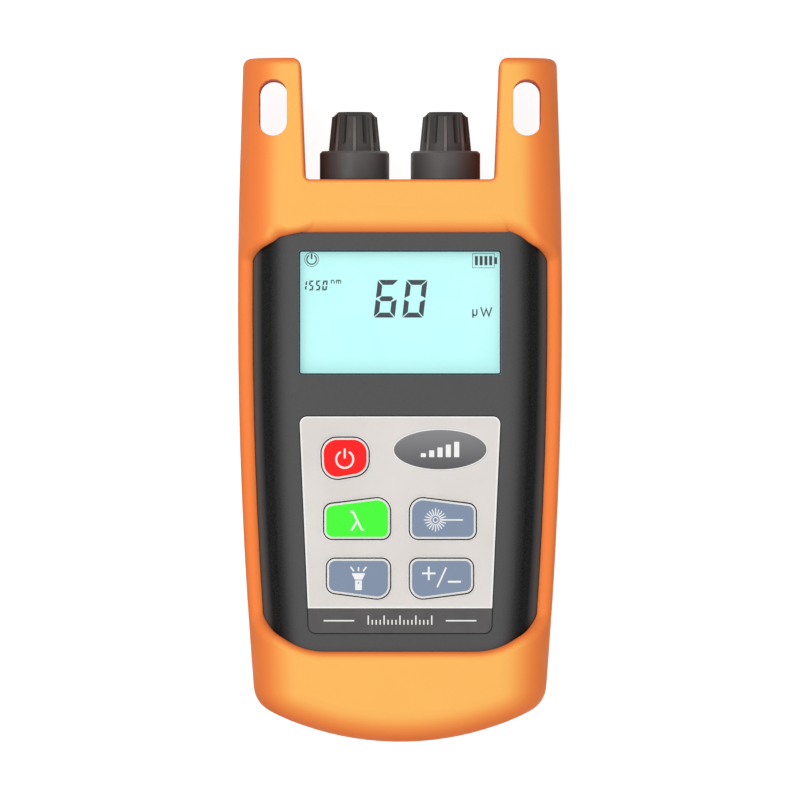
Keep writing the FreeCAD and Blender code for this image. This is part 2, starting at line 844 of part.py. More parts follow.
def round_lip(body):
    """Round the window's outer edge, which runs over the flat front and both curved sides.
    The round is broad along the window's top and narrows towards the sides."""
    floor = value("sleeveDepth - faceRound + lipHeight")
    lowest = value("sleeveDepth - frontRound")
    top = value(WINDOW_TOP)
    foot = -value(WINDOW_FOOT)
    side = value("sleeveWidth / 2 - windowStrip")
    narrow = value("lipRound")
    broad = value("lipTopRound")
    blend = value("lipBlend")

    def on_lip(edge):
        box_ = edge.BoundBox
        inside = abs(box_.Center.x) <= side and foot - NEAR < box_.YMin and box_.YMax < top + NEAR
        flat = box_.ZLength < value("lipHeight + caseWall")
        return inside and flat and box_.ZMin > max(floor, lowest) + NEAR

    def radius_at(place):
        share = max(0, 1 - (top - place.y) / blend)
        return narrow + (broad - narrow) * share

    edges = []
    for number, edge in enumerate(body.Shape.Edges, 1):
        if on_lip(edge):
            ends = edge.valueAt(edge.FirstParameter), edge.valueAt(edge.LastParameter)
            edges.append((number, *(radius_at(end) for end in ends)))
    lip = doc.addObject("Part::Fillet", "window_lip")
    lip.Base = body
    lip.Edges = edges
    return lip


def cut_port_opening(body):
    """The cut-out in the top wall that the case's port plinth fills."""
    sketch = new_sketch(body, "port_opening", "XZ_Plane", SHOULDER)
    half = "(plinthWidth / 2 + plinthGap)"
    corners = rectangle_corners(
        "-" + half, half, "plinthLow - plinthGap", "plinthHigh + plinthGap", "plinthCorner + plinthGap"
    )
    rounded_outline(sketch, corners)
    pocket(body, sketch, "2 * sleeveWall", flip=True)


def cut_rear_opening(body):
    """The opening in the back that leaves the battery door free."""
    sketch = new_sketch(body, "rear_opening")
    half = "(rearOpeningWidth / 2)"
    corners = rectangle_corners(
        "-" + half, half, "-" + REAR_OPENING_FOOT, "rearOpeningTop", "rearOpeningCorner"
    )
    rounded_outline(sketch, corners)
    pocket(body, sketch, "2 * sleeveWall", flip=True)
    reach = value(half)
    foot = -value(REAR_OPENING_FOOT)
    top = value("rearOpeningTop")
    soften(
        body,
        "rear_opening_edge",
        lambda edge: lies_at(edge, "Z", 0)
        and abs(edge.BoundBox.Center.x) <= reach + NEAR
        and edge.BoundBox.YMin >= foot - NEAR
        and edge.BoundBox.YMax <= top + NEAR,
        "rearOpeningEdge",
    )


# ---------------------------------------------------------------- key outlines


def power_key_corners():
    """The power key's outline: each corner is x, y, radius and the way in, anticlockwise."""
    right = "(powerKeyWidth - powerKeyOuter)"
    top = "-(overlayTop + powerKeyDrop)"
    foot = f"({top} - powerKeyHeight)"
    return [
        ("keyLean - powerKeyOuter", foot, "powerKeyCorner", 1, 1),
        (right, f"{foot} + keySlant", "powerKeyCorner", -1, 1),
        (right, top, "powerKeyCorner", -1, -1),
        ("-powerKeyOuter", top, "powerKeyCorner", 1, -1),
    ]


def middle_key_corners():
    """The wavelength key's outline, whose top side falls away from the middle."""
    outer = "-(keyMiddle + middleKeyWidth)"
    top = "-(overlayTop + middleKeyDrop)"
    foot = f"({top} - middleKeyHeight)"
    return [
        (outer, foot, "keyCorner", 1, 1),
        ("-keyMiddle", foot, "keyCorner", -1, 1),
        ("-keyMiddle", top, "keyBigCorner", -1, -1),
        (outer, f"{top} - keySlant", "keyCorner", 1, -1),
    ]


def lower_key_corners():
    """The torch key's outline, whose foot rises away from the middle."""
    outer = "-(keyMiddle + lowerKeyWidth)"
    top = "-(overlayTop + lowerKeyDrop)"
    foot = f"({top} - lowerKeyHeight)"
    return [
        (outer, f"{foot} + keySlant", "keyCorner", 1, 1),
        ("-keyMiddle", foot, "keyBigCorner", -1, 1),
        ("-keyMiddle", top, "keyCorner", -1, -1),
        (outer, top, "keyCorner", 1, -1),
    ]


def mirror(corners):
    """The same outline on the other side of the middle."""
    return [(f"-({x})", y, radius, -inward, up) for x, y, radius, inward, up in reversed(corners)]


KEYS = {
    "power_key": power_key_corners(),
    "wavelength_key": middle_key_corners(),
    "laser_key": mirror(middle_key_corners()),
    "torch_key": lower_key_corners(),
    "reference_key": mirror(lower_key_corners()),
}


def moved_in(corners, inset):
    """An outline of such corners, moved in by inset."""
    return [
        (f"{x} + {inward} * ({inset})", f"{y} + {up} * ({inset})", f"{radius} - ({inset})")
        for x, y, radius, inward, up in corners
    ]


def middle_of(corners):
    """The place of the middle of a key's corners."""
    across = " + ".join(f"({corner[0]})" for corner in corners)
    along = " + ".join(f"({corner[1]})" for corner in corners)
    return f"(({across}) / {len(corners)})", f"(({along}) / {len(corners)})"


def overlay_outline(sketch, inset):
    """The overlay's outline, which grows narrower towards the foot, moved in by inset."""
    wide = "overlayWidth / 2"
    narrow = "overlayWidth / 2 - overlayTaper"
    corners = [
        (f"-({narrow})", f"-{OVERLAY_FOOT}", "overlayCorner", 1, 1),
        (narrow, f"-{OVERLAY_FOOT}", "overlayCorner", -1, 1),
        (wide, "-overlayTop", "overlayCorner", -1, -1),
        (f"-{wide}", "-overlayTop", "overlayCorner", 1, -1),
    ]
    rounded_outline(sketch, moved_in(corners, inset))


def key_openings(name):
    """Columns with the outlines of the five key openings, from below the face to above it."""
    columns = []
    for key, corners in KEYS.items():
        body = new_body(f"{name}_{key}")
        sketch = new_sketch(body, f"{name}_{key}_outline", offset=f"{INNER_FACE} - caseWall")
        rounded_outline(sketch, moved_in(corners, "0"))
        doc.recompute()
        pad(body, sketch, "3 * caseWall")
        columns.append(body)
    return columns


# ---------------------------------------------------------------- hard case


CASE_SCREWS = [
    ("(sleeveWidth / 2 - caseScrewTopInset)", f"({SHOULDER} - caseScrewTopDrop)"),
    ("(caseScrewTopInset - sleeveWidth / 2)", f"({SHOULDER} - caseScrewTopDrop)"),
    ("(sleeveWidth / 2 - caseScrewFootInset)", "-caseScrewFootY"),
    ("(caseScrewFootInset - sleeveWidth / 2)", "-caseScrewFootY"),
]
BOARD_SCREWS = [
    ("(sleeveWidth / 2 - boardScrewTopInset)", f"({BOARD_TOP} - boardScrewTopDrop)"),
    ("(boardScrewTopInset - sleeveWidth / 2)", f"({BOARD_TOP} - boardScrewTopDrop)"),
    ("(sleeveWidth / 2 - boardScrewFootInset)", "-boardScrewFootY"),
    ("(boardScrewFootInset - sleeveWidth / 2)", "-boardScrewFootY"),
]
PORTS = {"power_port": "-portSpacing / 2", "laser_port": "portSpacing / 2"}
CELLS = {"battery_1": ("-cellPitch", 1), "battery_2": ("0", -1), "battery_3": ("cellPitch", 1)}


def case_form():
    """The closed form that both shells share, with the plinth under the fibre ports."""
    plinth = new_body("plinth")
    sketch = new_sketch(plinth, "plinth_outline", "XZ_Plane", INNER_TOP)
    half = "plinthWidth / 2"
    corners = rectangle_corners("-" + half, half, "plinthLow", "plinthHigh", "plinthCorner")
    rounded_outline(sketch, corners)
    doc.recompute()
    pad(plinth, sketch, f"{PLINTH_TOP} - {INNER_TOP}", flip=True)
    return together("case_form", case_slab("case", CASE_INSET), plinth)


def half_space(name, low, high):
    """Everything between two heights."""
    return box(name, "-sleeveWidth", "sleeveWidth", "-sleeveLength", "sleeveLength", low, high)


def adapter_ribs(name, low, high):
    """A rib that holds the adapters' flanges against the top wall, open round their tails."""
    half = "ribSpan / 2"
    far = f"({FLANGE_FOOT} - ribGap)"
    near = f"({far} - ribThickness)"
    rib = box(name + "_blank", "-" + half, half, near, far, low, high)
    tails = [
        rod(f"{name}_{port}", x, f"{near} - ribGap", "portHeight", "2 * ribThickness",
            "tailRadius + barrelClearance", ALONG_Y)
        for port, x in PORTS.items()
    ]
    return without(name, rib, *tails)


def port_holes(name):
    """The holes in the top wall for the two adapters."""
    length = f"{PLINTH_TOP} - {INNER_TOP} + 2 * caseWall"
    return [
        rod(f"{name}_{port}_hole", x, f"{INNER_TOP} - caseWall", "portHeight", length,
            "barrelRadius + barrelClearance", ALONG_Y)
        for port, x in PORTS.items()
    ]


def display_cuts():
    """The display opening and, from inside, the rebate that its window lies in."""
    body = new_body("display_opening")
    sketch = new_sketch(body, "display_outline", offset=f"{INNER_FACE} - caseWall")
    half = "displayWidth / 2"
    corners = rectangle_corners("-" + half, half, DISPLAY_FOOT, DISPLAY_TOP, "displayCorner")
    rounded_outline(sketch, corners)
    doc.recompute()
    pad(body, sketch, "3 * caseWall")
    side = "(displayWidth / 2 + windowMargin)"
    rebate = box(
        "window_rebate",
        "-" + side,
        side,
        f"{DISPLAY_FOOT} - windowMargin",
        f"{DISPLAY_TOP} + windowMargin",
        f"{INNER_FACE} - caseWall",
        f"{INNER_FACE} + windowStep",
    )
    return [body, rebate]


def overlay_recess():
    """The shallow recess in the face that the keypad overlay is glued into."""
    body = new_body("overlay_recess")
    sketch = new_sketch(body, "recess_outline", offset=RECESS_FLOOR)
    overlay_outline(sketch, "0")
    doc.recompute()
    pad(body, sketch, "caseWall")
    return body


def front_shell(form, hollow):
    """The upper half of the case, with its bosses, openings and recesses."""
    upper = shared("front_blank", form, half_space("front_side", "portHeight", "sleeveDepth"))
    skin = without("front_skin", upper, hollow)
    bosses = [
        rod(f"front_post_{number}", x, y, "portHeight", "sleeveDepth - portHeight", "caseBoss")
        for number, (x, y) in enumerate(CASE_SCREWS, 1)
    ]
    bosses += [
        rod(f"board_post_{number}", x, y, BOARD_FRONT, f"sleeveDepth - {BOARD_FRONT}", "boardBoss")
        for number, (x, y) in enumerate(BOARD_SCREWS, 1)
    ]
    bosses.append(adapter_ribs("front_rib", "portHeight", "sleeveDepth"))
    inside = shared("front_bosses", together("front_boss_set", *bosses), form)
    reach = f"{SCREW_SEAT} + caseScrewReach + pilotSpare - portHeight"
    pilots = [
        rod(f"front_pilot_{number}", x, y, "portHeight", reach, "caseScrewShank + screwPlay")
        for number, (x, y) in enumerate(CASE_SCREWS, 1)
    ]
    reach = f"{BOARD_REAR} + boardScrewReach + pilotSpare - {BOARD_FRONT}"
    pilots += [
        rod(f"board_pilot_{number}", x, y, BOARD_FRONT, reach, "boardScrewShank + screwPlay")
        for number, (x, y) in enumerate(BOARD_SCREWS, 1)
    ]
    length = f"{PLINTH_TOP} - {INNER_TOP} + 2 * caseWall"
    torch = rod("torch_hole", "0", f"{INNER_TOP} - caseWall", "torchHeight", length,
                "torchRadius + torchClearance", ALONG_Y)
    shell = without(
        "front_moulding",
        together("front_walls", skin, inside),
        *pilots,
        *port_holes("front"),
        torch,
        *display_cuts(),
        overlay_recess(),
        *key_openings("opening"),
    )
    return node("front_shell", shell)


def battery_bay():
    """The compartment's walls and roof, open to the rear."""
    half = "(bayWidth / 2)"
    outer = "(bayWidth / 2 + bayWall)"
    walls = box("bay_walls", "-" + outer, outer, f"-({BAY_FOOT} + bayWall)", f"bayWall - {BAY_TOP}",
                BACK, f"{BAY_ROOF} + bayRoof")
    room = box("bay_room", "-" + half, half, f"-{BAY_FOOT}", f"-{BAY_TOP}", "0", BAY_ROOF)
    return walls, room


def rear_shell(form, hollow):
    """The lower half of the case, with the battery compartment and the screws' posts."""
    lower = shared("rear_blank", form, half_space("rear_side", "0", "portHeight"))
    skin = without("rear_skin", lower, hollow)
    walls, room = battery_bay()
    posts = [
        rod(f"rear_post_{number}", x, y, BACK, f"portHeight - {BACK}", "caseBoss + screwClearance")
        for number, (x, y) in enumerate(CASE_SCREWS, 1)
    ]
    saddle = box("saddle", "portSpacing / 2 - saddleWidth / 2", "portSpacing / 2 + saddleWidth / 2",
                 SADDLE_PLACE, f"{SADDLE_PLACE} + saddleThickness", BACK, "portHeight - laserRadius / 2")
    module = rod("saddle_trough", "portSpacing / 2", f"{SADDLE_PLACE} - saddleThickness", "portHeight",
                 "3 * saddleThickness", "laserRadius + ribGap", ALONG_Y)
    rib = adapter_ribs("rear_rib", BACK, "portHeight")
    fittings = together("rear_fittings", *posts, without("saddle_rib", saddle, module), rib)
    inside = shared("rear_bosses", fittings, form)
    cuts = [room]
    for number, (x, y) in enumerate(CASE_SCREWS, 1):
        cuts.append(rod(f"counterbore_{number}", x, y, "0", SCREW_SEAT,
                        "caseScrewHead + caseScrewHeadGap"))
        cuts.append(rod(f"screw_hole_{number}", x, y, "0", "portHeight + caseWall",
                        "caseScrewShank + screwClearance"))
    outer = "(bayWidth / 2 + bayWall)"
    cuts.append(rod("pin_hole", "-" + outer, f"-{PIN_PLACE}", PIN_HEIGHT, "bayWidth + 2 * bayWall",
                    "doorPin + pinClearance", ALONG_X))
    cuts.append(box("finger_notch", "-fingerNotch / 2", "fingerNotch / 2", f"-{BAY_TOP} - bayWall",
                    f"fingerNotchReach - {BAY_TOP}", "0", f"{BACK} + fingerNotchDepth"))
    shell = without(
        "rear_moulding",
        together("rear_walls", skin, walls, inside),
        *cuts,
        *port_holes("rear"),
    )
    return node("rear_shell", shell)


def battery_door():
    """A flat door whose foot turns on two pins."""
    side = "(bayWidth / 2 - doorGap)"
    plate = box("door_plate", "-" + side, side, f"-{PIN_PLACE}", f"-{BAY_TOP} - doorGap", BACK,
                f"{BACK} + doorThickness")
    pins = rod("door_pins", f"-({side} + doorPinLength)", f"-{PIN_PLACE}", PIN_HEIGHT,
               f"2 * ({side} + doorPinLength)", "doorPin", ALONG_X)
    pieces = [plate, pins]
    for number in range(3):
        middle = f"(-{BAY_TOP} - gripInset - {number} * gripPitch)"
        pieces.append(box(f"door_grip_{number + 1}", "-gripWidth / 2", "gripWidth / 2",
                          f"{middle} - gripLine / 2", f"{middle} + gripLine / 2",
                          f"{BACK} - gripProud", f"{BACK} + gripProud"))
    return node("battery_door", together("door", *pieces))


def ring_of(name, left, right, near, far, wall, low, high, radius):
    """A rectangular wall round the given space, with rounded outer corners."""
    body = new_body(name)
    sketch = new_sketch(body, name + "_outer", offset=low)
    corners = rectangle_corners(
        f"{left} - {wall}", f"{right} + {wall}", f"{near} - {wall}", f"{far} + {wall}", radius
    )
    rounded_outline(sketch, corners)
    doc.recompute()
    pad(body, sketch, f"{high} - ({low})")
    inner = new_sketch(body, name + "_inner", offset=low)
    closed_outline(inner, rectangle_corners(left, right, near, far))
    pocket(body, inner, f"{high} - ({low}) + caseWall", flip=True)
    return body


# ---------------------------------------------------------------- display


def display_stack():
    """The window in the face and, under it, the glass with its backlight, contact strip and frame."""
    side = "(displayWidth / 2 + windowMargin - seatGap)"
    near = f"{DISPLAY_FOOT} - windowMargin + seatGap"
    far = f"{DISPLAY_TOP} + windowMargin - seatGap"
    rear = f"({INNER_FACE} + windowStep - windowThickness)"
    node("display_window", box("window_pane", "-" + side, side, near, far, rear,
                               f"{INNER_FACE} + windowStep"))
    side = GLASS_SIDE
    node("lcd_glass", box("glass", "-" + side, side, GLASS_FOOT, GLASS_TOP, GLASS_REAR, GLASS_FRONT))
    strip_foot = f"({GLASS_FOOT} + glassGap)"
    strip_top = f"({strip_foot} + stripWidth)"
    node("elastomer_connector", box("strip", "-stripLength / 2", "stripLength / 2", strip_foot,
                                    strip_top, BOARD_FRONT, GLASS_REAR))
    node("lcd_backlight", box("light_guide", "-" + side, side, f"{strip_top} + glassGap", GLASS_TOP,
                              BOARD_FRONT, GLASS_REAR))
    room = f"({GLASS_SIDE} + frameGap)"
    wall = ring_of("frame_wall", "-" + room, room, f"{GLASS_FOOT} - frameGap",
                   f"{GLASS_TOP} + frameGap", "frameWall", BOARD_FRONT, f"{rear} - seatGap",
                   "frameRound")
    side = "(displayWidth / 2 + windowMargin + seatGap)"
    near = f"({DISPLAY_FOOT} - windowMargin - seatGap)"
    far = f"({DISPLAY_TOP} + windowMargin + seatGap)"
    lip = "(glassMargin - windowMargin + frameGap)"
    lip_ring = ring_of("frame_lip", "-" + side, side, near, far, lip, GLASS_FRONT,
                       f"{rear} - seatGap", "frameWall / 2")
    foot_lip = box("frame_foot_lip", "-" + room, room, f"{GLASS_FOOT} - frameGap", near, GLASS_FRONT,
                   f"{rear} - seatGap")
    node("lcd_frame", together("frame", wall, lip_ring, foot_lip))


# ---------------------------------------------------------------- circuit board and keys


def circuit_board():
    """The main board with its screw holes, and the controller on its rear."""
    body = new_body("board")
    sketch = new_sketch(body, "board_outline", offset=BOARD_REAR)
    corners = [
        ("boardFootInset - sleeveWidth / 2", "-boardFoot", "boardCorner"),
        ("sleeveWidth / 2 - boardFootInset", "-boardFoot", "boardCorner"),
        ("sleeveWidth / 2 - boardTopInset", BOARD_TOP, "boardCorner"),
        ("boardTopInset - sleeveWidth / 2", BOARD_TOP, "boardCorner"),
    ]
    rounded_outline(sketch, corners)
    doc.recompute()
    pad(body, sketch, "boardThickness")
    holes = new_sketch(body, "board_holes", offset=BOARD_REAR)
    for x, y in BOARD_SCREWS:
        circle_at(holes, x, y, "boardScrewShank + screwClearance")
    pocket(body, holes, "2 * boardThickness", flip=True)
    node("main_board", body)
    half = "chipSize / 2"
    node("microcontroller", box("chip", "-" + half, half, f"chipPlace - {half}", f"chipPlace + {half}",
                                f"{BOARD_REAR} - chipThickness", BOARD_REAR))


def keypad_overlay():
    """The thin printed panel round the keys; the strip at its foot lies a little lower."""
    body = new_body("overlay")
    sketch = new_sketch(body, "overlay_outline", offset=RECESS_FLOOR)
    overlay_outline(sketch, "overlayGroove")
    doc.recompute()
    pad(body, sketch, "overlayRecess + overlayProud")
    holes = new_sketch(body, "overlay_holes", offset=RECESS_FLOOR)
    for corners in KEYS.values():
        rounded_outline(holes, moved_in(corners, "0"))
    pocket(body, holes, "caseWall", flip=True)
    strip = new_sketch(body, "overlay_strip", offset=f"{FACE} + overlayProud")
    top = f"(stripHeight - {OVERLAY_FOOT})"
    corners = rectangle_corners("-overlayWidth / 2", "overlayWidth / 2", f"-{OVERLAY_FOOT}", top)
    closed_outline(strip, corners)
    pocket(body, strip, "stripStep")
    node("keypad_overlay", body)


def key(name, corners):
    """One key: its cap with a soft edge, the flange that keeps it in, and its stem."""
    body = new_body(name + "_body")
    cap = new_sketch(body, name + "_cap", offset=KEY_SHELF)
    rounded_outline(cap, moved_in(corners, "keyGap"))
    doc.recompute()
    pad(body, cap, f"{KEY_TOP} - {KEY_SHELF}")
    top = value(KEY_TOP)
    soften(body, name + "_edge", lambda edge: lies_at(edge, "Z", top), "keyEdge", "Chamfer")
    flange = new_sketch(body, name + "_flange", offset=f"{KEY_SHELF} - keyFlangeThickness")
    rounded_outline(flange, moved_in(corners, "-keyFlange"))
    pad(body, flange, "keyFlangeThickness")
    stem = new_sketch(body, name + "_stem", offset=STEM_FOOT)
    circle_at(stem, *middle_of(corners), "keyStem")
    pad(body, stem, f"{KEY_SHELF} - keyFlangeThickness - {STEM_FOOT}")
    node(name, body)


def keypad_mat():
    """The rubber mat on the board, with a hollow dome under each key's stem."""
    side = "(powerKeyOuter + matMargin)"
    mat = new_body("mat_sheet")
    sketch = new_sketch(mat, "mat_outline", offset=BOARD_FRONT)
    top = "(matMargin - overlayTop - powerKeyDrop)"
    foot = "(-overlayTop - lowerKeyDrop - lowerKeyHeight - matMargin)"
    rounded_outline(sketch, rectangle_corners("-" + side, side, foot, top, "matCorner"))
    doc.recompute()
    pad(mat, sketch, "matThickness")
    base = f"({BOARD_FRONT} + matThickness)"
    domes = []
    rooms = []
    for name, corners in KEYS.items():
        x, y = middle_of(corners)
        domes.append(rod(name + "_dome", x, y, base, "domeHeight", "domeFoot",
                         top_radius="domeTop"))
        domes.append(rod(name + "_pad", x, y, f"{base} + domeHeight", "domePad", "keyStem"))
        rooms.append(rod(name + "_room", x, y, BOARD_FRONT, "matThickness + domeHeight - domeWall",
                         "domeFoot - domeWall / 2", top_radius="domeTop - domeWall"))
    node("keypad_mat", without("mat", together("mat_domes", mat, *domes), *rooms))


# ---------------------------------------------------------------- fibre ports


def placed_at_port(body, x):
    """Move a piece that was made about the Y axis to its port's axis."""
    bind(body, "Placement.Base.x", x)
    bind(body, "Placement.Base.z", "portHeight")


def turned(name, corners, x=None, bows=None):
    """A solid turned about the Y axis from its half section, and moved to its port."""
    body = new_body(name)
    sketch = new_sketch(body, name + "_section")
    closed_outline(sketch, corners, bows)
    doc.recompute()
    turn(body, sketch)
    if x:
        placed_at_port(body, x)
    return body


def port_collar(name, x):
    """The ring round an adapter, with a chamfered front edge and a rounded foot."""
    bore = "(barrelRadius + barrelClearance)"
    body = turned(
        name + "_ring",
        [
            (bore, PLINTH_TOP),
            ("collarRadius", PLINTH_TOP),
            ("collarRadius", f"{COLLAR_TOP} - collarChamfer"),
            ("collarRadius - collarChamfer", COLLAR_TOP),
            (bore, COLLAR_TOP),
        ],
        x,
    )
    foot = value(PLINTH_TOP)
    rim = value("collarRadius")
    soften(
        body,
        name + "_foot_edge",
        lambda edge: lies_at(edge, "Y", foot) and edge.BoundBox.XLength > rim,
        "collarEdge",
        "Chamfer",
    )
    node(name, body)


def port_adapter(name, x):
    """The metal adapter: flange, barrel with a keyway, and the holder of the ceramic sleeve."""
    holder = f"({HOLDER_BORE} + holderWall)"
    sleeve_foot = f"({HOLDER_TOP} - ferruleLength)"
    floor = f"({BARREL_TOP} - barrelBoreDepth)"
    body = turned(
        name + "_turning",
        [
            ("tailBore", TAIL_FOOT),
            ("tailRadius", TAIL_FOOT),
            ("tailRadius", FLANGE_FOOT),
            ("flangeRadius", FLANGE_FOOT),
            ("flangeRadius", INNER_TOP),
            ("barrelRadius", INNER_TOP),
            ("barrelRadius", BARREL_TOP),
            ("barrelBore", BARREL_TOP),
            ("barrelBore", floor),
            (holder, floor),
            (holder, HOLDER_TOP),
            (HOLDER_BORE, HOLDER_TOP),
            (HOLDER_BORE, sleeve_foot),
            ("tailBore", sleeve_foot),
        ],
        x,
    )
    key_slot = box(name + "_keyway", f"{x} - keyway / 2", f"{x} + keyway / 2",
                   f"{BARREL_TOP} - keywayDepth", f"{BARREL_TOP} + keywayDepth",
                   f"portHeight + ({holder} + barrelBore) / 2", "portHeight + 2 * barrelRadius")
    node(name, without(name + "_part", body, key_slot))


def port_sleeve(name, x):
    """The slit ceramic sleeve that lines up two ferrules."""
    rim = "(ferruleRadius + ferruleWall)"
    foot = f"({HOLDER_TOP} - ferruleLength)"
    corners = [
        ("ferruleRadius", foot),
        (rim, foot),
        (rim, HOLDER_TOP),
        ("ferruleRadius", HOLDER_TOP),
    ]
    body = turned(name + "_tube", corners, x)
    slit = box(name + "_slit", f"{x} - ferruleSlit / 2", f"{x} + ferruleSlit / 2",
               f"{foot} - ferruleWall", f"{HOLDER_TOP} + ferruleWall", "portHeight - 2 * ferruleRadius",
               "portHeight")
    node(name, without(name + "_part", body, slit))


def port_cap(name, x):
    """The moulded dust cap: a tapered cup with thin ribs and round-bottomed flutes between them."""
    foot = COLLAR_TOP
    top = f"({COLLAR_TOP} + capHeight)"
    bore = "(barrelRadius + barrelClearance)"
    body = turned(
        name + "_cup",
        [
            (bore, foot),
            ("capFoot", foot),
            ("capTop", f"{top} - capChamfer"),
            ("capTop - capChamfer", top),
            ("0", top),
            ("0", f"{top} - capRoof"),
            (bore, f"{top} - capRoof"),
        ],
        x,
    )
    rib = new_sketch(body, name + "_rib")
    inside = f"(({bore} + capTop) / 2)"
    corners = [
        (inside, foot),
        ("capFoot + ribProud", foot),
        ("capTop + ribProud", f"{top} - capChamfer"),
        (inside, f"{top} - capChamfer"),
    ]
    closed_outline(rib, corners)
    doc.recompute()
    first_rib = pad(body, rib, "ribWidth", both_ways=True)
    polar(body, first_rib, rib, 8)
    for number, sign in ((1, ""), (2, "-")):
        cut_flutes(body, f"{name}_flute_{number}", sign + "fluteTurn")
    node(name, body)


def cut_flutes(body, name, angle):
    """Four flutes, a quarter turn apart, whose first lies at this angle from the first rib."""
    foot = f"({COLLAR_TOP} + fluteFoot)"
    top = f"({COLLAR_TOP} + capHeight + fluteRadius)"
    depth = "(fluteRadius - fluteDepth)"
    sketch = new_sketch(body, name)
    sketch.AttachmentOffset = Placement(Vector(), Rotation(Vector(0, 1, 0), value(angle)))
    bind(sketch, "AttachmentOffset.Rotation.Angle", angle)
    slope = "((capFoot - capTop) / (capHeight - capChamfer))"
    low_x = f"(capFoot - {slope} * fluteFoot + {depth})"
    high_x = f"({low_x} - {slope} * ({top} - {foot}))"
    start = guess((low_x, foot))
    end = guess((high_x, top))
    size = value("fluteRadius")
    onwards = (end - start).normalize()
    across = Vector(onwards.y, -onwards.x, 0)
    tilt = math.atan2(onwards.y, onwards.x)
    circle = Part.Circle(start, Vector(0, 0, 1), size)
    axis = sketch.addGeometry(Part.LineSegment(start, end), True)
    nose = sketch.addGeometry(Part.ArcOfCircle(circle, tilt - math.pi, tilt - math.pi / 2))
    side = sketch.addGeometry(Part.LineSegment(start + across * size, end + across * size))
    head = sketch.addGeometry(Part.LineSegment(end + across * size, end))
    core = sketch.addGeometry(Part.LineSegment(end, start - onwards * size))
    fix_point(sketch, axis, 1, low_x, foot)
    fix_point(sketch, axis, 2, high_x, top)
    constrain(sketch, "Coincident", nose, 3, axis, 1)
    constrain(sketch, "Radius", nose, size="fluteRadius")
    constrain(sketch, "Tangent", nose, 2, side, 1)
    constrain(sketch, "Parallel", side, axis)
    constrain(sketch, "Coincident", side, 2, head, 1)
    constrain(sketch, "Perpendicular", head, axis)
    constrain(sketch, "Coincident", head, 2, axis, 2)
    constrain(sketch, "Coincident", core, 1, axis, 2)
    constrain(sketch, "Coincident", core, 2, nose, 1)
    constrain(sketch, "PointOnObject", nose, 1, axis)
    doc.recompute()
    polar(body, turn(body, sketch, groove=True, axis="Axis0"), sketch, 4)


# ---------------------------------------------------------------- parts behind the ports


def photodetector(x):
    """The detector's can, whose rim stands on the adapter's tail."""
    foot = f"({TAIL_FOOT} - detectorLength)"
    rim = f"({TAIL_FOOT} - detectorRimThickness)"
    corners = [
        ("0", foot),
        ("detectorRadius", foot),
        ("detectorRadius", rim),
        ("detectorRim", rim),
        ("detectorRim", TAIL_FOOT),
        ("0", TAIL_FOOT),
    ]
    node("photodetector", turned("detector_can", corners, x))


def laser_module(x):
    """The laser's round housing, with its front on the adapter's tail."""
    foot = f"({TAIL_FOOT} - laserLength)"
    corners = [("0", foot), ("laserRadius", foot), ("laserRadius", TAIL_FOOT), ("0", TAIL_FOOT)]
    node("laser_module", turned("laser_housing", corners, x))


def torch_led():
    """The torch's lamp: a rim inside the wall and a round nose just below the outer surface."""
    foot = f"({INNER_TOP} - torchRimThickness)"
    nose = f"({PLINTH_TOP} - torchSink - torchRadius)"
    corners = [
        ("0", foot),
        ("torchRim", foot),
        ("torchRim", INNER_TOP),
        ("torchRadius", INNER_TOP),
        ("~torchRadius", nose),
        ("0", f"~({nose} + torchRadius)"),
    ]
    body = turned("torch_lamp", corners, bows={4: ("0", nose, "torchRadius")})
    bind(body, "Placement.Base.z", "torchHeight")
    node("torch_led", body)


# ---------------------------------------------------------------- batteries


def cell(name, x, direction):
    """One battery with its raised contact, which points up or down the case."""
    foot = f"(-{BAY_TOP} - contactThickness - cellLength)"
    end = "cellLength - cellNubHeight"
    corners = [
        ("0", "0"),
        ("cellRadius - cellEdge", "0"),
        ("cellRadius", "cellEdge"),
        ("cellRadius", f"{end} - cellEdge"),
        ("cellRadius - cellEdge", end),
        ("cellNub", end),
        ("cellNub", "cellLength"),
        ("0", "cellLength"),
    ]
    body = turned(name + "_can", corners)
    if direction < 0:
        body.Placement = Placement(Vector(), Rotation(Vector(0, 0, 1), FULL_TURN / 2))
        foot = f"(contactThickness + cellLength - {BAY_FOOT})"
    bind(body, "Placement.Base.x", x)
    bind(body, "Placement.Base.y", foot)
    bind(body, "Placement.Base.z", CELL_HEIGHT)
    node(name, body)


def contact_plates():
    """The flat contacts at the raised ends of the cells."""
    plates = []
    for name, (x, direction) in CELLS.items():
        near = f"-{BAY_TOP} - contactThickness" if direction > 0 else f"-{BAY_FOOT}"
        low = f"{CELL_HEIGHT} - contactHeight / 2"
        plates.append(box(name + "_plate", f"{x} - contactWidth / 2", f"{x} + contactWidth / 2",
                          near, f"{near} + contactThickness", low, f"{low} + contactHeight"))
    node("contact_plates", together("plates", *plates), len(plates))


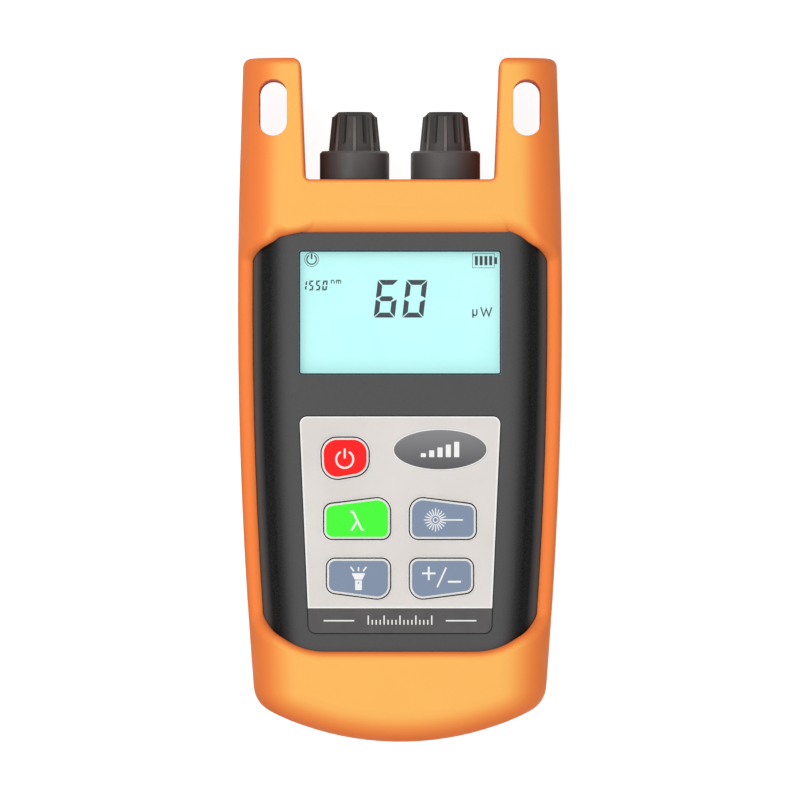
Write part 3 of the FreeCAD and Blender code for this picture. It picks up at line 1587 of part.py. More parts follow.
def leaf_springs():
    """The sprung contacts at the flat ends: a bent strip that leans from the wall to the cell."""
    springs = []
    for name, (x, direction) in CELLS.items():
        wall = f"-{BAY_FOOT}" if direction > 0 else f"-{BAY_TOP}"
        reach = f"({direction} * ({BAY_FOOT} - {BAY_TOP} - contactThickness - cellLength))"
        thick = f"({direction} * springThickness)"
        low = f"({CELL_HEIGHT} - springHeight / 2)"
        high = f"({CELL_HEIGHT} + springHeight / 2)"
        body = new_body(name + "_spring")
        sketch = new_sketch(body, name + "_spring_section", "YZ_Plane", x)
        corners = [
            (wall, low),
            (f"{wall} + {thick}", low),
            (f"{wall} + {thick}", f"{high} - 2 * springThickness"),
            (f"{wall} + {reach} - 1.5 * {thick}", f"{CELL_HEIGHT} + springNose / 2"),
            (f"{wall} + {reach} - {thick}", f"{CELL_HEIGHT} - springNose"),
            (f"{wall} + {reach} / 2", low),
            (f"{wall} + {reach} / 2 + 2 * {thick}", low),
            (f"{wall} + {reach}", f"{CELL_HEIGHT} - springNose"),
            (f"{wall} + {reach}", f"{CELL_HEIGHT} + springNose"),
            (wall, high),
        ]
        closed_outline(sketch, corners)
        doc.recompute()
        pad(body, sketch, "springWidth", both_ways=True)
        springs.append(body)
    node("leaf_springs", together("springs", *springs), len(springs))


# ---------------------------------------------------------------- screws


def screw_set(label, places, seat, reach, shank, head, head_height):
    """A set of like screws, whose heads look to the rear."""
    screws = []
    for number, (x, y) in enumerate(places, 1):
        name = f"{label}_{number}"
        top = rod(name + "_head", x, y, f"{seat} - {head_height}", head_height, head)
        middle = f"{seat} - {head_height} / 2"
        body = rod(name + "_shank", x, y, middle, f"{reach} + {head_height} / 2", shank)
        screws.append(together(name, top, body))
    node(label, together(label + "_set", *screws), len(screws))


def finish_checks():
    """Stop unless every object is sound and every node holds the solids that it should."""
    doc.recompute()
    for thing in doc.Objects:
        if "Invalid" in thing.State or "Error" in thing.State:
            raise RuntimeError(f"{thing.Name}: {thing.getStatusString()}")
    for thing, label, solids in NODES:
        shape = thing.Shape
        if shape.isNull() or not shape.isValid() or len(shape.Solids) != solids:
            raise RuntimeError(f"{label} is not {solids} sound solid(s)")


# ---------------------------------------------------------------- the whole meter

rubber_holster()
form = case_form()
hollow = case_slab("hollow", HOLLOW_INSET)
front_shell(form, hollow)
rear_shell(form, hollow)
battery_door()
display_stack()
circuit_board()
keypad_overlay()
keypad_mat()
for key_name, key_corners in KEYS.items():
    key(key_name, key_corners)
for port_name, port_place in PORTS.items():
    port_collar(port_name + "_collar", port_place)
    port_adapter(port_name + "_adapter", port_place)
    port_sleeve(port_name + "_sleeve", port_place)
    port_cap(port_name + "_cap", port_place)
photodetector(PORTS["power_port"])
laser_module(PORTS["laser_port"])
torch_led()
for cell_name, (cell_place, cell_direction) in CELLS.items():
    cell(cell_name, cell_place, cell_direction)
contact_plates()
leaf_springs()
screw_set("housing_screws", CASE_SCREWS, SCREW_SEAT, "caseScrewReach", "caseScrewShank",
          "caseScrewHead", "caseScrewHeadHeight")
screw_set("board_screws", BOARD_SCREWS, BOARD_REAR, "boardScrewReach", "boardScrewShank",
          "boardScrewHead", "boardScrewHeadHeight")
finish_checks()

os.makedirs("parts", exist_ok=True)
for piece, piece_label, _ in NODES:
    piece.Shape.exportStep(f"parts/{piece_label}.step")
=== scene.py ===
import math

import bmesh
import bpy
from mathutils import Matrix, Vector


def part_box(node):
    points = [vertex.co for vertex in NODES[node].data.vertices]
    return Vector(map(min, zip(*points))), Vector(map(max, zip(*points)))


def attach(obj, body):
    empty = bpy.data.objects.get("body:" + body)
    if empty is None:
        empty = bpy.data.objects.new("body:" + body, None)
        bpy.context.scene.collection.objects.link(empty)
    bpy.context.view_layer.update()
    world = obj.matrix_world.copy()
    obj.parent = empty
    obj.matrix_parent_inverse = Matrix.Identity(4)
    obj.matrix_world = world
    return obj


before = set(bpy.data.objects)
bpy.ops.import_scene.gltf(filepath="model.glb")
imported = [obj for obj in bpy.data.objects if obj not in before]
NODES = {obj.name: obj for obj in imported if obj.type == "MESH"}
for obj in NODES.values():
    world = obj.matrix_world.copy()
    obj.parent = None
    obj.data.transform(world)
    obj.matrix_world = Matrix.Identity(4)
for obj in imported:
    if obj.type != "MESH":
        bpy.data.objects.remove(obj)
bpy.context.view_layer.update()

# Optical power meter on its back, seen from straight above its face. The ports point along +Y.
# Lengths in this file are millimetres until they reach Blender, which takes metres.

MM = 0.001


def extent(node):
    """Lowest and highest corner of a CAD node, in millimetres."""
    low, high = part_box(node)
    return low / MM, high / MM


# ---------------------------------------------------------------- colours and materials


def tone(red, green, blue):
    """A colour given as screen values from 0 to 255, as the linear values that shaders take."""
    linear = []
    for level in (red, green, blue):
        level /= 255
        linear.append(level / 12.92 if level <= 0.04045 else ((level + 0.055) / 1.055) ** 2.4)
    return (*linear, 1.0)


class Material:
    """A node material that is built up in steps."""

    def __init__(self, name, colour, roughness=0.5, metallic=0.0, specular=0.5):
        self.data = bpy.data.materials.new(name)
        self.data.use_nodes = True
        self.nodes = self.data.node_tree.nodes
        self.links = self.data.node_tree.links
        self.shader = self.nodes["Principled BSDF"]
        self.shader.inputs["Base Color"].default_value = colour
        self.shader.inputs["Roughness"].default_value = roughness
        self.shader.inputs["Metallic"].default_value = metallic
        self.shader.inputs["Specular IOR Level"].default_value = specular
        self.place = self.nodes.new("ShaderNodeTexCoord").outputs["Object"]
        self.data.diffuse_color = colour
        self.relief = None

    def node(self, kind, **settings):
        """A new shader node with these settings."""
        made = self.nodes.new("ShaderNode" + kind)
        for name, setting in settings.items():
            setattr(made, name, setting)
        return made

    def noise(self, size, detail, stretch=None):
        """Noise whose spots are about size millimetres across, stretched by a factor for each axis."""
        made = self.node("TexNoise")
        made.inputs["Scale"].default_value = 1 / (size * MM)
        made.inputs["Detail"].default_value = detail
        where = self.place
        if stretch:
            mapping = self.node("Mapping")
            mapping.inputs["Scale"].default_value = stretch
            self.links.new(where, mapping.inputs["Vector"])
            where = mapping.outputs["Vector"]
        self.links.new(where, made.inputs["Vector"])
        return made.outputs["Fac"]

    def spread(self, source, low, high, start=0.3, end=0.7):
        """The source's values from start to end turned into values from low to high."""
        made = self.node("MapRange")
        for name, number in (
            ("From Min", start), ("From Max", end), ("To Min", low), ("To Max", high)
        ):
            made.inputs[name].default_value = number
        self.links.new(source, made.inputs["Value"])
        return made.outputs["Result"]

    def blend_colour(self, factor, first, second):
        """A colour between two others; either may be a colour or a socket."""
        made = self.node("Mix", data_type="RGBA")
        self.links.new(factor, made.inputs["Factor"])
        for name, colour in (("A", first), ("B", second)):
            socket = next(s for s in made.inputs if s.name == name and s.type == "RGBA")
            if isinstance(colour, tuple):
                socket.default_value = colour
            else:
                self.links.new(colour, socket)
        return next(s for s in made.outputs if s.type == "RGBA")

    def ramp(self, source, stops):
        """A colour that follows the source through stops, each a place and a colour."""
        made = self.node("ValToRGB")
        elements = made.color_ramp.elements
        while len(elements) < len(stops):
            elements.new(0.5)
        for element, (place, colour) in zip(elements, stops):
            element.position = place
            element.color = colour
        self.links.new(source, made.inputs["Fac"])
        return made.outputs["Color"]

    def reckon(self, operation, first, second=0.0):
        """What a Math node makes of two terms, each a socket or a number."""
        made = self.node("Math", operation=operation)
        for socket, term in zip(made.inputs, (first, second)):
            if isinstance(term, (int, float)):
                socket.default_value = term
            else:
                self.links.new(term, socket)
        return made.outputs[0]

    def colour(self, source):
        """Colour the surface by this source."""
        self.links.new(source, self.shader.inputs["Base Color"])

    def rough(self, source):
        """Set the surface's roughness by this source."""
        self.links.new(source, self.shader.inputs["Roughness"])

    def bump(self, source, strength, distance):
        """Relief of about this many millimetres."""
        made = self.node("Bump")
        made.inputs["Strength"].default_value = strength
        made.inputs["Distance"].default_value = distance * MM
        self.links.new(source, made.inputs["Height"])
        if self.relief:
            self.links.new(self.relief, made.inputs["Normal"])
        self.relief = made.outputs["Normal"]
        self.links.new(self.relief, self.shader.inputs["Normal"])

    def soft_edges(self, radius):
        """Edges that catch the light as if they had this radius; bump comes after it."""
        made = self.node("Bevel", samples=6)
        made.inputs["Radius"].default_value = radius * MM
        self.relief = made.outputs["Normal"]
        self.links.new(self.relief, self.shader.inputs["Normal"])

    def facing(self, axis):
        """How far the surface looks along an axis of the object, from -1 to 1."""
        split = self.node("SeparateXYZ")
        self.links.new(self.place.node.outputs["Normal"], split.inputs[0])
        return split.outputs[axis]

    def along(self, axis):
        """The place along an axis of the object, in metres."""
        split = self.node("SeparateXYZ")
        self.links.new(self.place, split.inputs[0])
        return split.outputs[axis]


# Painted shade: how far inside the holster's side its colour starts to deepen, and where it is fully deep.
SIDE_SHADE_START = 9.5
SIDE_SHADE_END = 5.0


def holster_rubber():
    """Soft orange rubber with painted light and shade: paler where it looks up, deeper on its sides."""
    made = Material("holster_rubber", tone(250, 150, 76), roughness=0.62, specular=0.25)
    made.soft_edges(0.5)
    # Painted light and shade: the orange pales where the surface looks up and deepens as it turns aside.
    base = made.ramp(made.facing("Z"), (
        (0.0, tone(252, 124, 62)), (0.5, tone(255, 130, 62)), (0.75, tone(255, 143, 66)),
        (0.87, tone(255, 156, 74)), (0.95, tone(255, 172, 84)), (1.0, tone(255, 187, 93))))
    # Painted shade: a deeper orange towards the holster's sides.
    side = extent("rubber_holster")[1].x
    outward = made.spread(made.reckon("ABSOLUTE", made.along("X")), 0, 1,
                          (side - SIDE_SHADE_START) * MM, (side - SIDE_SHADE_END) * MM)
    base = made.blend_colour(outward, base, tone(255, 134, 63))
    cloud = made.spread(made.noise(38, 3), 0, 0.06)
    base = made.blend_colour(cloud, base, tone(244, 150, 70))
    made.colour(base)
    made.rough(made.spread(made.noise(9, 4), 0.56, 0.70))
    made.bump(made.noise(0.45, 3), 0.10, 0.05)
    return made.data


def case_plastic(name, rollover_reflection):
    """Dark grey plastic with a fine spark texture; the second argument adds a painted reflection where the
    face rolls over.
    """
    made = Material(name, tone(78, 78, 79), roughness=0.55, specular=0.06)
    made.soft_edges(0.3)
    grain = made.noise(0.35, 4)
    base = tone(80, 80, 81)
    if rollover_reflection:
        # Painted reflection: grey where the face looks up, nearly black as it rolls over, paler again
        # where it looks most aside.
        base = made.ramp(made.facing("Z"), (
            (0.55, tone(86, 86, 86)), (0.64, tone(60, 60, 60)), (0.72, tone(8, 9, 8)),
            (0.84, tone(8, 8, 8)), (0.91, tone(44, 44, 44)), (0.97, tone(76, 76, 77)),
            (1.0, tone(84, 84, 85))))
    made.colour(made.blend_colour(made.spread(grain, 0, 0.12), base, tone(110, 110, 111)))
    made.rough(made.spread(made.noise(6, 3), 0.50, 0.62))
    made.bump(grain, 0.10, 0.04)
    return made.data


def plain_plastic(name, colour, roughness=0.45, wear=0.06, edge=0.15, specular=0.5):
    """Moulded plastic with a slight unevenness in colour and gloss."""
    made = Material(name, colour, roughness=roughness, specular=specular)
    made.soft_edges(edge)
    darker = tuple(channel * (1 - 2 * wear) for channel in colour[:3]) + (1.0,)
    made.colour(made.blend_colour(made.spread(made.noise(7, 4), 0, 0.6), colour, darker))
    made.rough(made.spread(made.noise(3, 4), roughness - 0.06, roughness + 0.08))
    made.bump(made.noise(0.5, 3), 0.05, 0.03)
    return made.data


def turned_metal(name, colour, roughness=0.3):
    """Metal with fine rings from the lathe."""
    made = Material(name, colour, roughness=roughness, metallic=1.0)
    made.soft_edges(0.15)
    made.rough(made.spread(made.noise(2.0, 3), roughness - 0.08, roughness + 0.1))
    made.bump(made.noise(0.8, 2, (1, 30, 1)), 0.12, 0.01)
    return made.data


def overlay_film():
    """The panel's film with its print: a pale field over a dark strip at the foot."""
    low = extent("keypad_overlay")[0]
    made = Material("overlay_film", tone(224, 219, 214), roughness=0.42)
    above_strip = made.reckon("GREATER_THAN", made.along("Y"), (low.y + STRIP_HEIGHT) * MM)
    wide_cloud = made.spread(made.noise(12, 4), 0, 1)
    field = made.blend_colour(wide_cloud, tone(226, 221, 216), tone(220, 214, 209))
    fine_cloud = made.spread(made.noise(6, 4), 0, 1)
    strip = made.blend_colour(fine_cloud, tone(76, 74, 74), tone(66, 64, 64))
    made.colour(made.blend_colour(above_strip, strip, field))
    made.rough(made.spread(made.noise(2, 4), 0.38, 0.48))
    made.bump(made.noise(0.3, 2), 0.04, 0.02)
    return made.data


# The pane's share of gloss: straight ahead, what is added at a glance, and how late that sets in.
SHINE_AHEAD = 0.02
SHINE_AT_A_GLANCE = 0.5
SHINE_FALL = 4.0


def clear_pane():
    """A thin clear sheet that lets the light straight through and shines a little."""
    made = Material("clear_window", (1, 1, 1, 1), roughness=0.05)
    clear = made.node("BsdfTransparent")
    clear.inputs["Color"].default_value = (0.97, 0.985, 0.985, 1)
    shine = made.node("BsdfGlossy")
    shine.inputs["Roughness"].default_value = 0.06
    glance = made.reckon("POWER", made.node("LayerWeight").outputs["Facing"], SHINE_FALL)
    share = made.reckon("ADD", made.reckon("MULTIPLY", glance, SHINE_AT_A_GLANCE), SHINE_AHEAD)
    both = made.node("MixShader")
    made.links.new(share, both.inputs[0])
    made.links.new(clear.outputs[0], both.inputs[1])
    made.links.new(shine.outputs[0], both.inputs[2])
    made.links.new(both.outputs[0], made.nodes["Material Output"].inputs["Surface"])
    made.nodes.remove(made.shader)
    return made.data


# How brightly the display is lit from behind.
DISPLAY_GLOW = 0.5


def display_glass():
    """The display's pale blue-green ground, lit a little from behind."""
    made = Material("display_glass", tone(192, 250, 249), roughness=0.3, specular=0.3)
    low, high = extent("lcd_glass")
    shade = made.spread(made.along("Y"), 0, 1, low.y * MM, high.y * MM)
    ground = made.blend_colour(shade, tone(164, 204, 202), tone(172, 202, 201))
    cloud = made.spread(made.noise(14, 2), 0, 0.5)
    made.colour(made.blend_colour(cloud, ground, tone(150, 200, 198)))
    made.shader.inputs["Emission Color"].default_value = tone(190, 255, 253)
    made.shader.inputs["Emission Strength"].default_value = DISPLAY_GLOW
    made.rough(made.spread(made.noise(0.2, 2), 0.26, 0.34))
    return made.data


# A cap's radius at its foot, how much it loses for each millimetre of height, and how far the painted
# highlight and shade run inside and outside that skin.
CAP_FOOT = 6.25
CAP_TAPER = 0.086
SHADE_INSIDE = 0.35
SHADE_OUTSIDE = 0.3


def cap_rubber(port):
    """Dark rubber, with a painted highlight on the proud ribs and painted shade in the flutes."""
    made = Material(port + "_cap_rubber", tone(70, 68, 66), roughness=0.55, specular=0.3)
    made.soft_edges(0.12)
    low, high = extent(port + "_cap")
    centre = (low + high) / 2
    across = made.reckon("SUBTRACT", made.along("X"), centre.x * MM)
    upward = made.reckon("SUBTRACT", made.along("Z"), centre.z * MM)
    squares = (made.reckon("MULTIPLY", across, across), made.reckon("MULTIPLY", upward, upward))
    reach = made.reckon("SQRT", made.reckon("ADD", *squares))
    height = made.reckon("SUBTRACT", made.along("Y"), low.y * MM)
    skin = made.reckon("ADD", reach, made.reckon("MULTIPLY", height, CAP_TAPER))
    # Painted highlight and shade: paler where the skin stands proud, darker where it sinks into the
    # flutes.
    proud = made.spread(skin, 0, 1, (CAP_FOOT - SHADE_INSIDE) * MM, (CAP_FOOT + SHADE_OUTSIDE) * MM)
    base = made.ramp(proud, (
        (0.0, tone(40, 39, 38)), (0.35, tone(56, 55, 54)), (0.6, tone(82, 80, 78)),
        (0.85, tone(88, 86, 84)), (1.0, tone(128, 124, 120))))
    made.colour(made.blend_colour(made.spread(made.noise(5, 4), 0, 0.2), base, tone(60, 58, 57)))
    made.rough(made.spread(made.noise(3, 4), 0.48, 0.62))
    made.bump(made.noise(0.5, 3), 0.05, 0.03)
    return made.data


def ink(name, colour, roughness=0.45):
    """Printed or filled marks, and the white painted highlights on the panel."""
    made = Material(name, colour, roughness=roughness)
    darker = tuple(channel * 0.93 for channel in colour[:3]) + (1.0,)
    made.colour(made.blend_colour(made.spread(made.noise(1.5, 3), 0, 1), colour, darker))
    made.rough(made.spread(made.noise(0.8, 3), roughness - 0.05, roughness + 0.05))
    return made.data


def badge_metal():
    """Grey lacquered metal with painted shading: darker at the bottom, brighter towards the top."""
    made = Material("badge_metal", tone(122, 122, 124), roughness=0.35, metallic=0.25)
    made.soft_edges(0.3)
    # Painted shading across the badge's height, dark at its foot and bright at its top.
    middle_line = extent("keypad_overlay")[1].y - BADGE_DROP
    place = made.spread(made.along("Y"), 0, 1, (middle_line - BADGE_HALF_HEIGHT) * MM,
                        (middle_line + BADGE_HALF_HEIGHT) * MM)
    made.colour(made.blend_colour(place, tone(78, 78, 80), tone(130, 130, 132)))
    made.rough(made.spread(made.noise(0.6, 2, (1, 12, 1)), 0.28, 0.42))
    return made.data


def circuit_green():
    """Solder resist with copper tracks that show faintly through it."""
    made = Material("circuit_board", tone(24, 96, 56), roughness=0.35)
    tracks = made.node("TexBrick")
    tracks.inputs["Scale"].default_value = 1 / (9 * MM)
    made.links.new(made.place, tracks.inputs["Vector"])
    made.colour(made.blend_colour(tracks.outputs["Fac"], tone(20, 88, 50), tone(52, 128, 78)))
    made.bump(tracks.outputs["Fac"], 0.2, 0.03)
    return made.data


# ---------------------------------------------------------------- flat pieces


def loop_of(corners, steps=7):
    """A closed loop through corners, each x, y and radius, with round turns."""
    loop = []
    for index, (x, y, radius) in enumerate(corners):
        corner = Vector((x, y))
        before = (Vector(corners[index - 1][:2]) - corner).normalized()
        after = (Vector(corners[(index + 1) % len(corners)][:2]) - corner).normalized()
        if radius <= 0:
            loop.append(corner)
            continue
        half = before.angle(after) / 2
        reach = radius / math.tan(half)
        centre = corner + (before + after).normalized() * (radius / math.sin(half))
        start = corner + before * reach - centre
        end = corner + after * reach - centre
        swing = start.angle_signed(end)
        for step in range(steps + 1):
            loop.append(centre + turned(start, -swing * step / steps))
    return loop


def turned(vector, angle):
    """A flat vector turned anticlockwise."""
    cosine, sine = math.cos(angle), math.sin(angle)
    return Vector((vector.x * cosine - vector.y * sine, vector.x * sine + vector.y * cosine))


def ellipse(x, y, wide, tall, steps=64):
    """A closed loop round an ellipse."""
    angles = [2 * math.pi * step / steps for step in range(steps)]
    return [Vector((x + wide * math.cos(a), y + tall * math.sin(a))) for a in angles]


def arc_path(x, y, radius, start, end, steps=24):
    """Points along an arc; angles in degrees."""
    angles = [math.radians(start + (end - start) * step / steps) for step in range(steps + 1)]
    return [Vector((x + radius * math.cos(a), y + radius * math.sin(a))) for a in angles]


def stroke(path, width):
    """A closed loop of this width round an open path."""
    path = [Vector(point) for point in path]
    left, right = [], []
    for index, point in enumerate(path):
        before = (point - path[index - 1]).normalized() if index else None
        after = (path[index + 1] - point).normalized() if index + 1 < len(path) else None
        along = ((before or after) + (after or before)).normalized()
        side = Vector((-along.y, along.x))
        ahead = after or before
        stretch = 1 / max(0.4, side.dot(Vector((-ahead.y, ahead.x))))
        left.append(point + side * (width / 2 * stretch))
        right.append(point - side * (width / 2 * stretch))
    return left + right[::-1]


def bar(left, right, low, high, radius=0.0):
    """A rectangle's loop."""
    corners = ((left, low), (right, low), (right, high), (left, high))
    return loop_of([(*corner, radius) for corner in corners])


def flat_piece(name, loops, low, high, material, body, edge=0.0):
    """A thin piece between two heights, inside loops; a loop in a loop is a hole."""
    curve = bpy.data.curves.new(name, "CURVE")
    curve.dimensions = "2D"
    curve.fill_mode = "BOTH"
    curve.extrude = (high - low) / 2 * MM - edge * MM
    curve.bevel_depth = edge * MM
    curve.offset = -edge * MM
    curve.bevel_resolution = 2
    for loop in loops:
        spline = curve.splines.new("POLY")
        spline.points.add(len(loop) - 1)
        for point, place in zip(spline.points, loop):
            point.co = (place.x * MM, place.y * MM, 0, 1)
        spline.use_cyclic_u = True
    source = bpy.data.objects.new(name + "_curve", curve)
    bpy.context.scene.collection.objects.link(source)
    mesh = bpy.data.meshes.new_from_object(source)
    bpy.data.objects.remove(source)
    mesh.transform(Matrix.Translation((0, 0, (low + high) / 2 * MM)))
    mesh.name = name
    piece = bpy.data.objects.new(name, mesh)
    bpy.context.scene.collection.objects.link(piece)
    mesh.materials.clear()
    mesh.materials.append(material)
    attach(piece, body)


# ---------------------------------------------------------------- outlines read from the CAD nodes


def top_outlines(name):
    """The loops that bound a node's highest flat face: the longest first, like ones from left to right."""
    mesh = bmesh.new()
    mesh.from_mesh(NODES[name].data)
    bmesh.ops.remove_doubles(mesh, verts=mesh.verts, dist=0.001 * MM)
    height = max(vertex.co.z for vertex in mesh.verts)
    top = {face for face in mesh.faces
           if all(height - vertex.co.z < 0.01 * MM for vertex in face.verts)}
    edges = [edge for edge in mesh.edges if len(top & set(edge.link_faces)) == 1]
    loops = []
    while edges:
        edge = edges.pop(0)
        first, last = edge.verts
        loop = [first, last]
        while last != first:
            edge = next(other for other in last.link_edges if other in edges)
            edges.remove(edge)
            last = edge.other_vert(last)
            loop.append(last)
        loops.append([Vector((vertex.co.x, vertex.co.y)) / MM for vertex in loop[:-1]])
    mesh.free()
    return sorted(loops, key=lambda loop: (-round(around(loop), 1), min(point.x for point in loop)))


def around(loop):
    """The length round a loop."""
    return sum((point - loop[index - 1]).length for index, point in enumerate(loop))


def swept_area(loop):
    """The area of a loop, positive where it runs anticlockwise."""
    return sum(loop[i - 1].x * p.y - p.x * loop[i - 1].y for i, p in enumerate(loop)) / 2


def moved_in(loop, inset):
    """A loop moved in by inset, or out where inset is negative."""
    if swept_area(loop) < 0:
        loop = loop[::-1]
    loop = [point for i, point in enumerate(loop) if (point - loop[i - 1]).length > 0.01]
    moved = []
    for index, point in enumerate(loop):
        before = (point - loop[index - 1]).normalized()
        after = (loop[(index + 1) % len(loop)] - point).normalized()
        inward = Vector((-(before + after).y, (before + after).x)).normalized()
        stretch = 1 / max(0.5, inward.dot(Vector((-after.y, after.x))))
        moved.append(point + inward * (inset * stretch))
    return moved


# ---------------------------------------------------------------- sizes of the dressing

KEYS = {
    "power_key": "power_button",
    "wavelength_key": "wavelength_button",
    "laser_key": "laser_button",
    "torch_key": "torch_button",
    "reference_key": "reference_button",
}
SLOTS = {
    "power_key": "red_key",
    "wavelength_key": "green_key",
    "laser_key": "grey_key",
    "torch_key": "grey_key",
    "reference_key": "grey_key",
}

# Print and painted highlights: how far they stand above their ground and reach into it, and the rounding
# of a broad highlight line's edge.
MARK = 0.05
SUNK = 0.02
HIGHLIGHT_EDGE = 0.02

# The coloured field of a key, inside its white rim.
FIELD_INSET = 0.17
FIELD_THICKNESS = 0.10
FIELD_EDGE = 0.04

# The panel: its white border and the white rims round the keys' openings, both painted highlights,
# and the dark strip at its foot.
BORDER_INSET = 0.03
BORDER_WIDTH = 0.39
RIM_GAP = 0.02
RIM_WIDTH = 0.20
STRIP_HEIGHT = 6.25
STRIP_DEPTH = 0.12
DASH_PLACE = 15.4
DASH_LENGTH = 7.7
DASH_WIDTH = 0.34
TICKS_A_SIDE = 8
TICK_FOOT = 1.0
TICK_WIDTH = 0.32
LONG_TICK = 2.3
SHORT_TICK = 1.2

# The badge: its middle from the panel's upper left corner, half its axes, and its rim.
BADGE_RIGHT = 35.4
BADGE_DROP = 8.35
BADGE_HALF_WIDTH = 11.7
BADGE_HALF_HEIGHT = 5.0
BADGE_THICKNESS = 0.35
BADGE_EDGE = 0.12
BADGE_RIM_OUT = 0.25
BADGE_RIM_IN = 0.05
BADGE_RIM_THICKNESS = 0.3
BADGE_RIM_EDGE = 0.05

# The badge's bars: where the first starts, left of the middle and below it, and how tall it is.
LEVEL_BARS = 5
LEVEL_BARS_LEFT = 4.9
LEVEL_BARS_BELOW = 1.9
LEVEL_BAR_HEIGHT = 1.0
LEVEL_BAR_WIDTH = 1.3
LEVEL_BAR_PITCH = 2.1
LEVEL_BAR_RISE = 0.72
LEVEL_BAR_ROUND = 0.15

# The display: its margin inside the pane, its dark edge line and the lean of its digits.
DISPLAY_MARGIN = 1.9
EDGE_LINE = 0.42
DIGIT_SLANT = math.tan(math.radians(6.5))

# The lip above the display. LIP_BEHIND gives places behind the round, and how far each is below the face.
LIP_ABOVE_PANE = 2.55
LIP_ROUND = 4.4
LIP_HEIGHT = 2.0
LIP_PROUD = 0.012
LIP_REACH = 27.5
LIP_RUN_OUT = 5.0
LIP_SINK = 0.30
LIP_BEHIND = ((1.0, 0.0), (1.9, 0.0), (3.2, 0.03), (5.5, 0.1))
LIP_ARC_STEPS = 24
LIP_STATIONS = 40


def middle(name):
    """The middle of a node, seen from above, and its highest level."""
    low, high = extent(name)
    return Vector(((low.x + high.x) / 2, (low.y + high.y) / 2)), high.z


def placed(loops, x, y, slant=0.0):
    """Loops moved to a place, leaning to the right by slant for each millimetre of height."""
    return [[Vector((x + p.x + slant * p.y, y + p.y)) for p in loop] for loop in loops]


# ---------------------------------------------------------------- keys


def power_glyph():
    """An open ring with a bar through its gap."""
    ring = stroke(arc_path(0, 0, 2.15, 118, 422), 0.48)
    return [ring, bar(-0.24, 0.24, 0.25, 2.75, 0.1)]


def lambda_glyph():
    """The Greek letter for wavelength: a long leaning stroke with a hooked top, and a short one."""
    corners = (
        (-1.75, 2.45), (-1.7, 2.0), (-1.3, 2.05), (-1.1, 1.75), (-0.22, 0.0), (-1.75, -2.5),
        (-1.15, -2.5), (0.05, -0.55), (0.85, -2.2), (1.2, -2.55), (1.75, -2.5), (1.72, -2.05),
        (1.4, -2.1), (1.2, -1.8), (-0.6, 2.05), (-0.95, 2.5), (-1.35, 2.6))
    return [[Vector(corner) for corner in corners]]


def laser_glyph():
    """A burst of rays round a spot, with one long beam."""
    loops = [stroke(arc_path(0, 0, 0.62, 0, 360), 0.22)]
    rays = 20
    for number in range(1, rays):
        angle = 2 * math.pi * number / rays
        reach = 2.75 if number % 5 else 2.95
        ray = Vector((math.cos(angle), math.sin(angle)))
        loops.append(stroke([ray * 1.05, ray * reach], 0.26))
    loops.append(stroke([(1.05, 0), (6.9, 0)], 0.36))
    return loops


def torch_glyph():
    """A pocket torch that points up, with three rays."""
    head = loop_of([
        (-1.75, 1.25, 0.15), (-0.95, -0.35, 0.1), (0.95, -0.35, 0.1), (1.75, 1.25, 0.15)])
    body = bar(-0.85, 0.85, -3.0, -0.55, 0.12)
    button = ellipse(0, -1.2, 0.22, 0.22, 16)
    side_rays = [stroke([(side * 1.15, 1.75), (side * 2.0, 2.85)], 0.4) for side in (-1, 1)]
    return [head, body, button, *side_rays, stroke([(0, 1.75), (0, 2.8)], 0.38)]


def reference_glyph():
    """A plus and a minus sign with a slash between them."""
    plus = loop_of([(x, y, 0) for x, y in (
        (-4.9, 0.75), (-3.45, 0.75), (-3.45, -0.7), (-2.95, -0.7), (-2.95, 0.75), (-1.5, 0.75),
        (-1.5, 1.25), (-2.95, 1.25), (-2.95, 2.7), (-3.45, 2.7), (-3.45, 1.25), (-4.9, 1.25))])
    return [plus, stroke([(-1.1, -2.5), (1.2, 2.5)], 0.42), bar(1.6, 4.9, -1.35, -0.85, 0.05)]


def dress_key(name, colour, glyph, shift):
    """The coloured field inside the key's white rim, and its sign, shifted from the key's middle."""
    body, slot = KEYS[name], SLOTS[name]
    centre, top = middle(name)
    outline = top_outlines(name)[0]
    material = plain_plastic(
        name + "_colour", colour, roughness=0.4, wear=0.015, edge=0.05, specular=0.15)
    flat_piece(name + "_field", [moved_in(outline, FIELD_INSET)], top - MARK, top + FIELD_THICKNESS,
               material, body, edge=FIELD_EDGE)
    level = top + FIELD_THICKNESS
    loops = placed(glyph, centre.x + shift[0], centre.y + shift[1])
    for number, group in enumerate(grouped(loops), 1):
        flat_piece(f"{name}_sign_{number}", group, level - SUNK, level + MARK, WHITE, body)


def grouped(loops):
    """Loops sorted into pieces: a loop that lies inside another is a hole of it."""
    pieces = []
    for loop in sorted(loops, key=around, reverse=True):
        for piece in pieces:
            if inside(loop[0], piece[0]):
                piece.append(loop)
                break
        else:
            pieces.append([loop])
    return pieces


def inside(point, loop):
    """Whether a point lies within a loop."""
    crossings = 0
    for index, corner in enumerate(loop):
        before = loop[index - 1]
        if (corner.y > point.y) != (before.y > point.y):
            share = (point.y - before.y) / (corner.y - before.y)
            crossings += before.x + (corner.x - before.x) * share > point.x
    return crossings % 2 == 1


# ---------------------------------------------------------------- holster


def lip_section():
    """The lip's section as places along Y and heights: its foot, its round and what runs out behind."""
    face = extent("rubber_holster")[1].z
    edge = extent("display_window")[1].y + LIP_ABOVE_PANE
    widest = math.acos((LIP_ROUND - LIP_HEIGHT) / LIP_ROUND)
    front = edge - LIP_ROUND * (1 - math.sin(widest))
    section = [(edge + LIP_ROUND, face - LIP_HEIGHT)]
    for step in range(LIP_ARC_STEPS + 1):
        angle = widest * (1 - step / LIP_ARC_STEPS)
        section.append((front + LIP_ROUND * (1 - math.sin(angle)),
                        face - LIP_ROUND * (1 - math.cos(angle))))
    behind = front + LIP_ROUND
    return section + [(behind + place, face - drop) for place, drop in LIP_BEHIND]


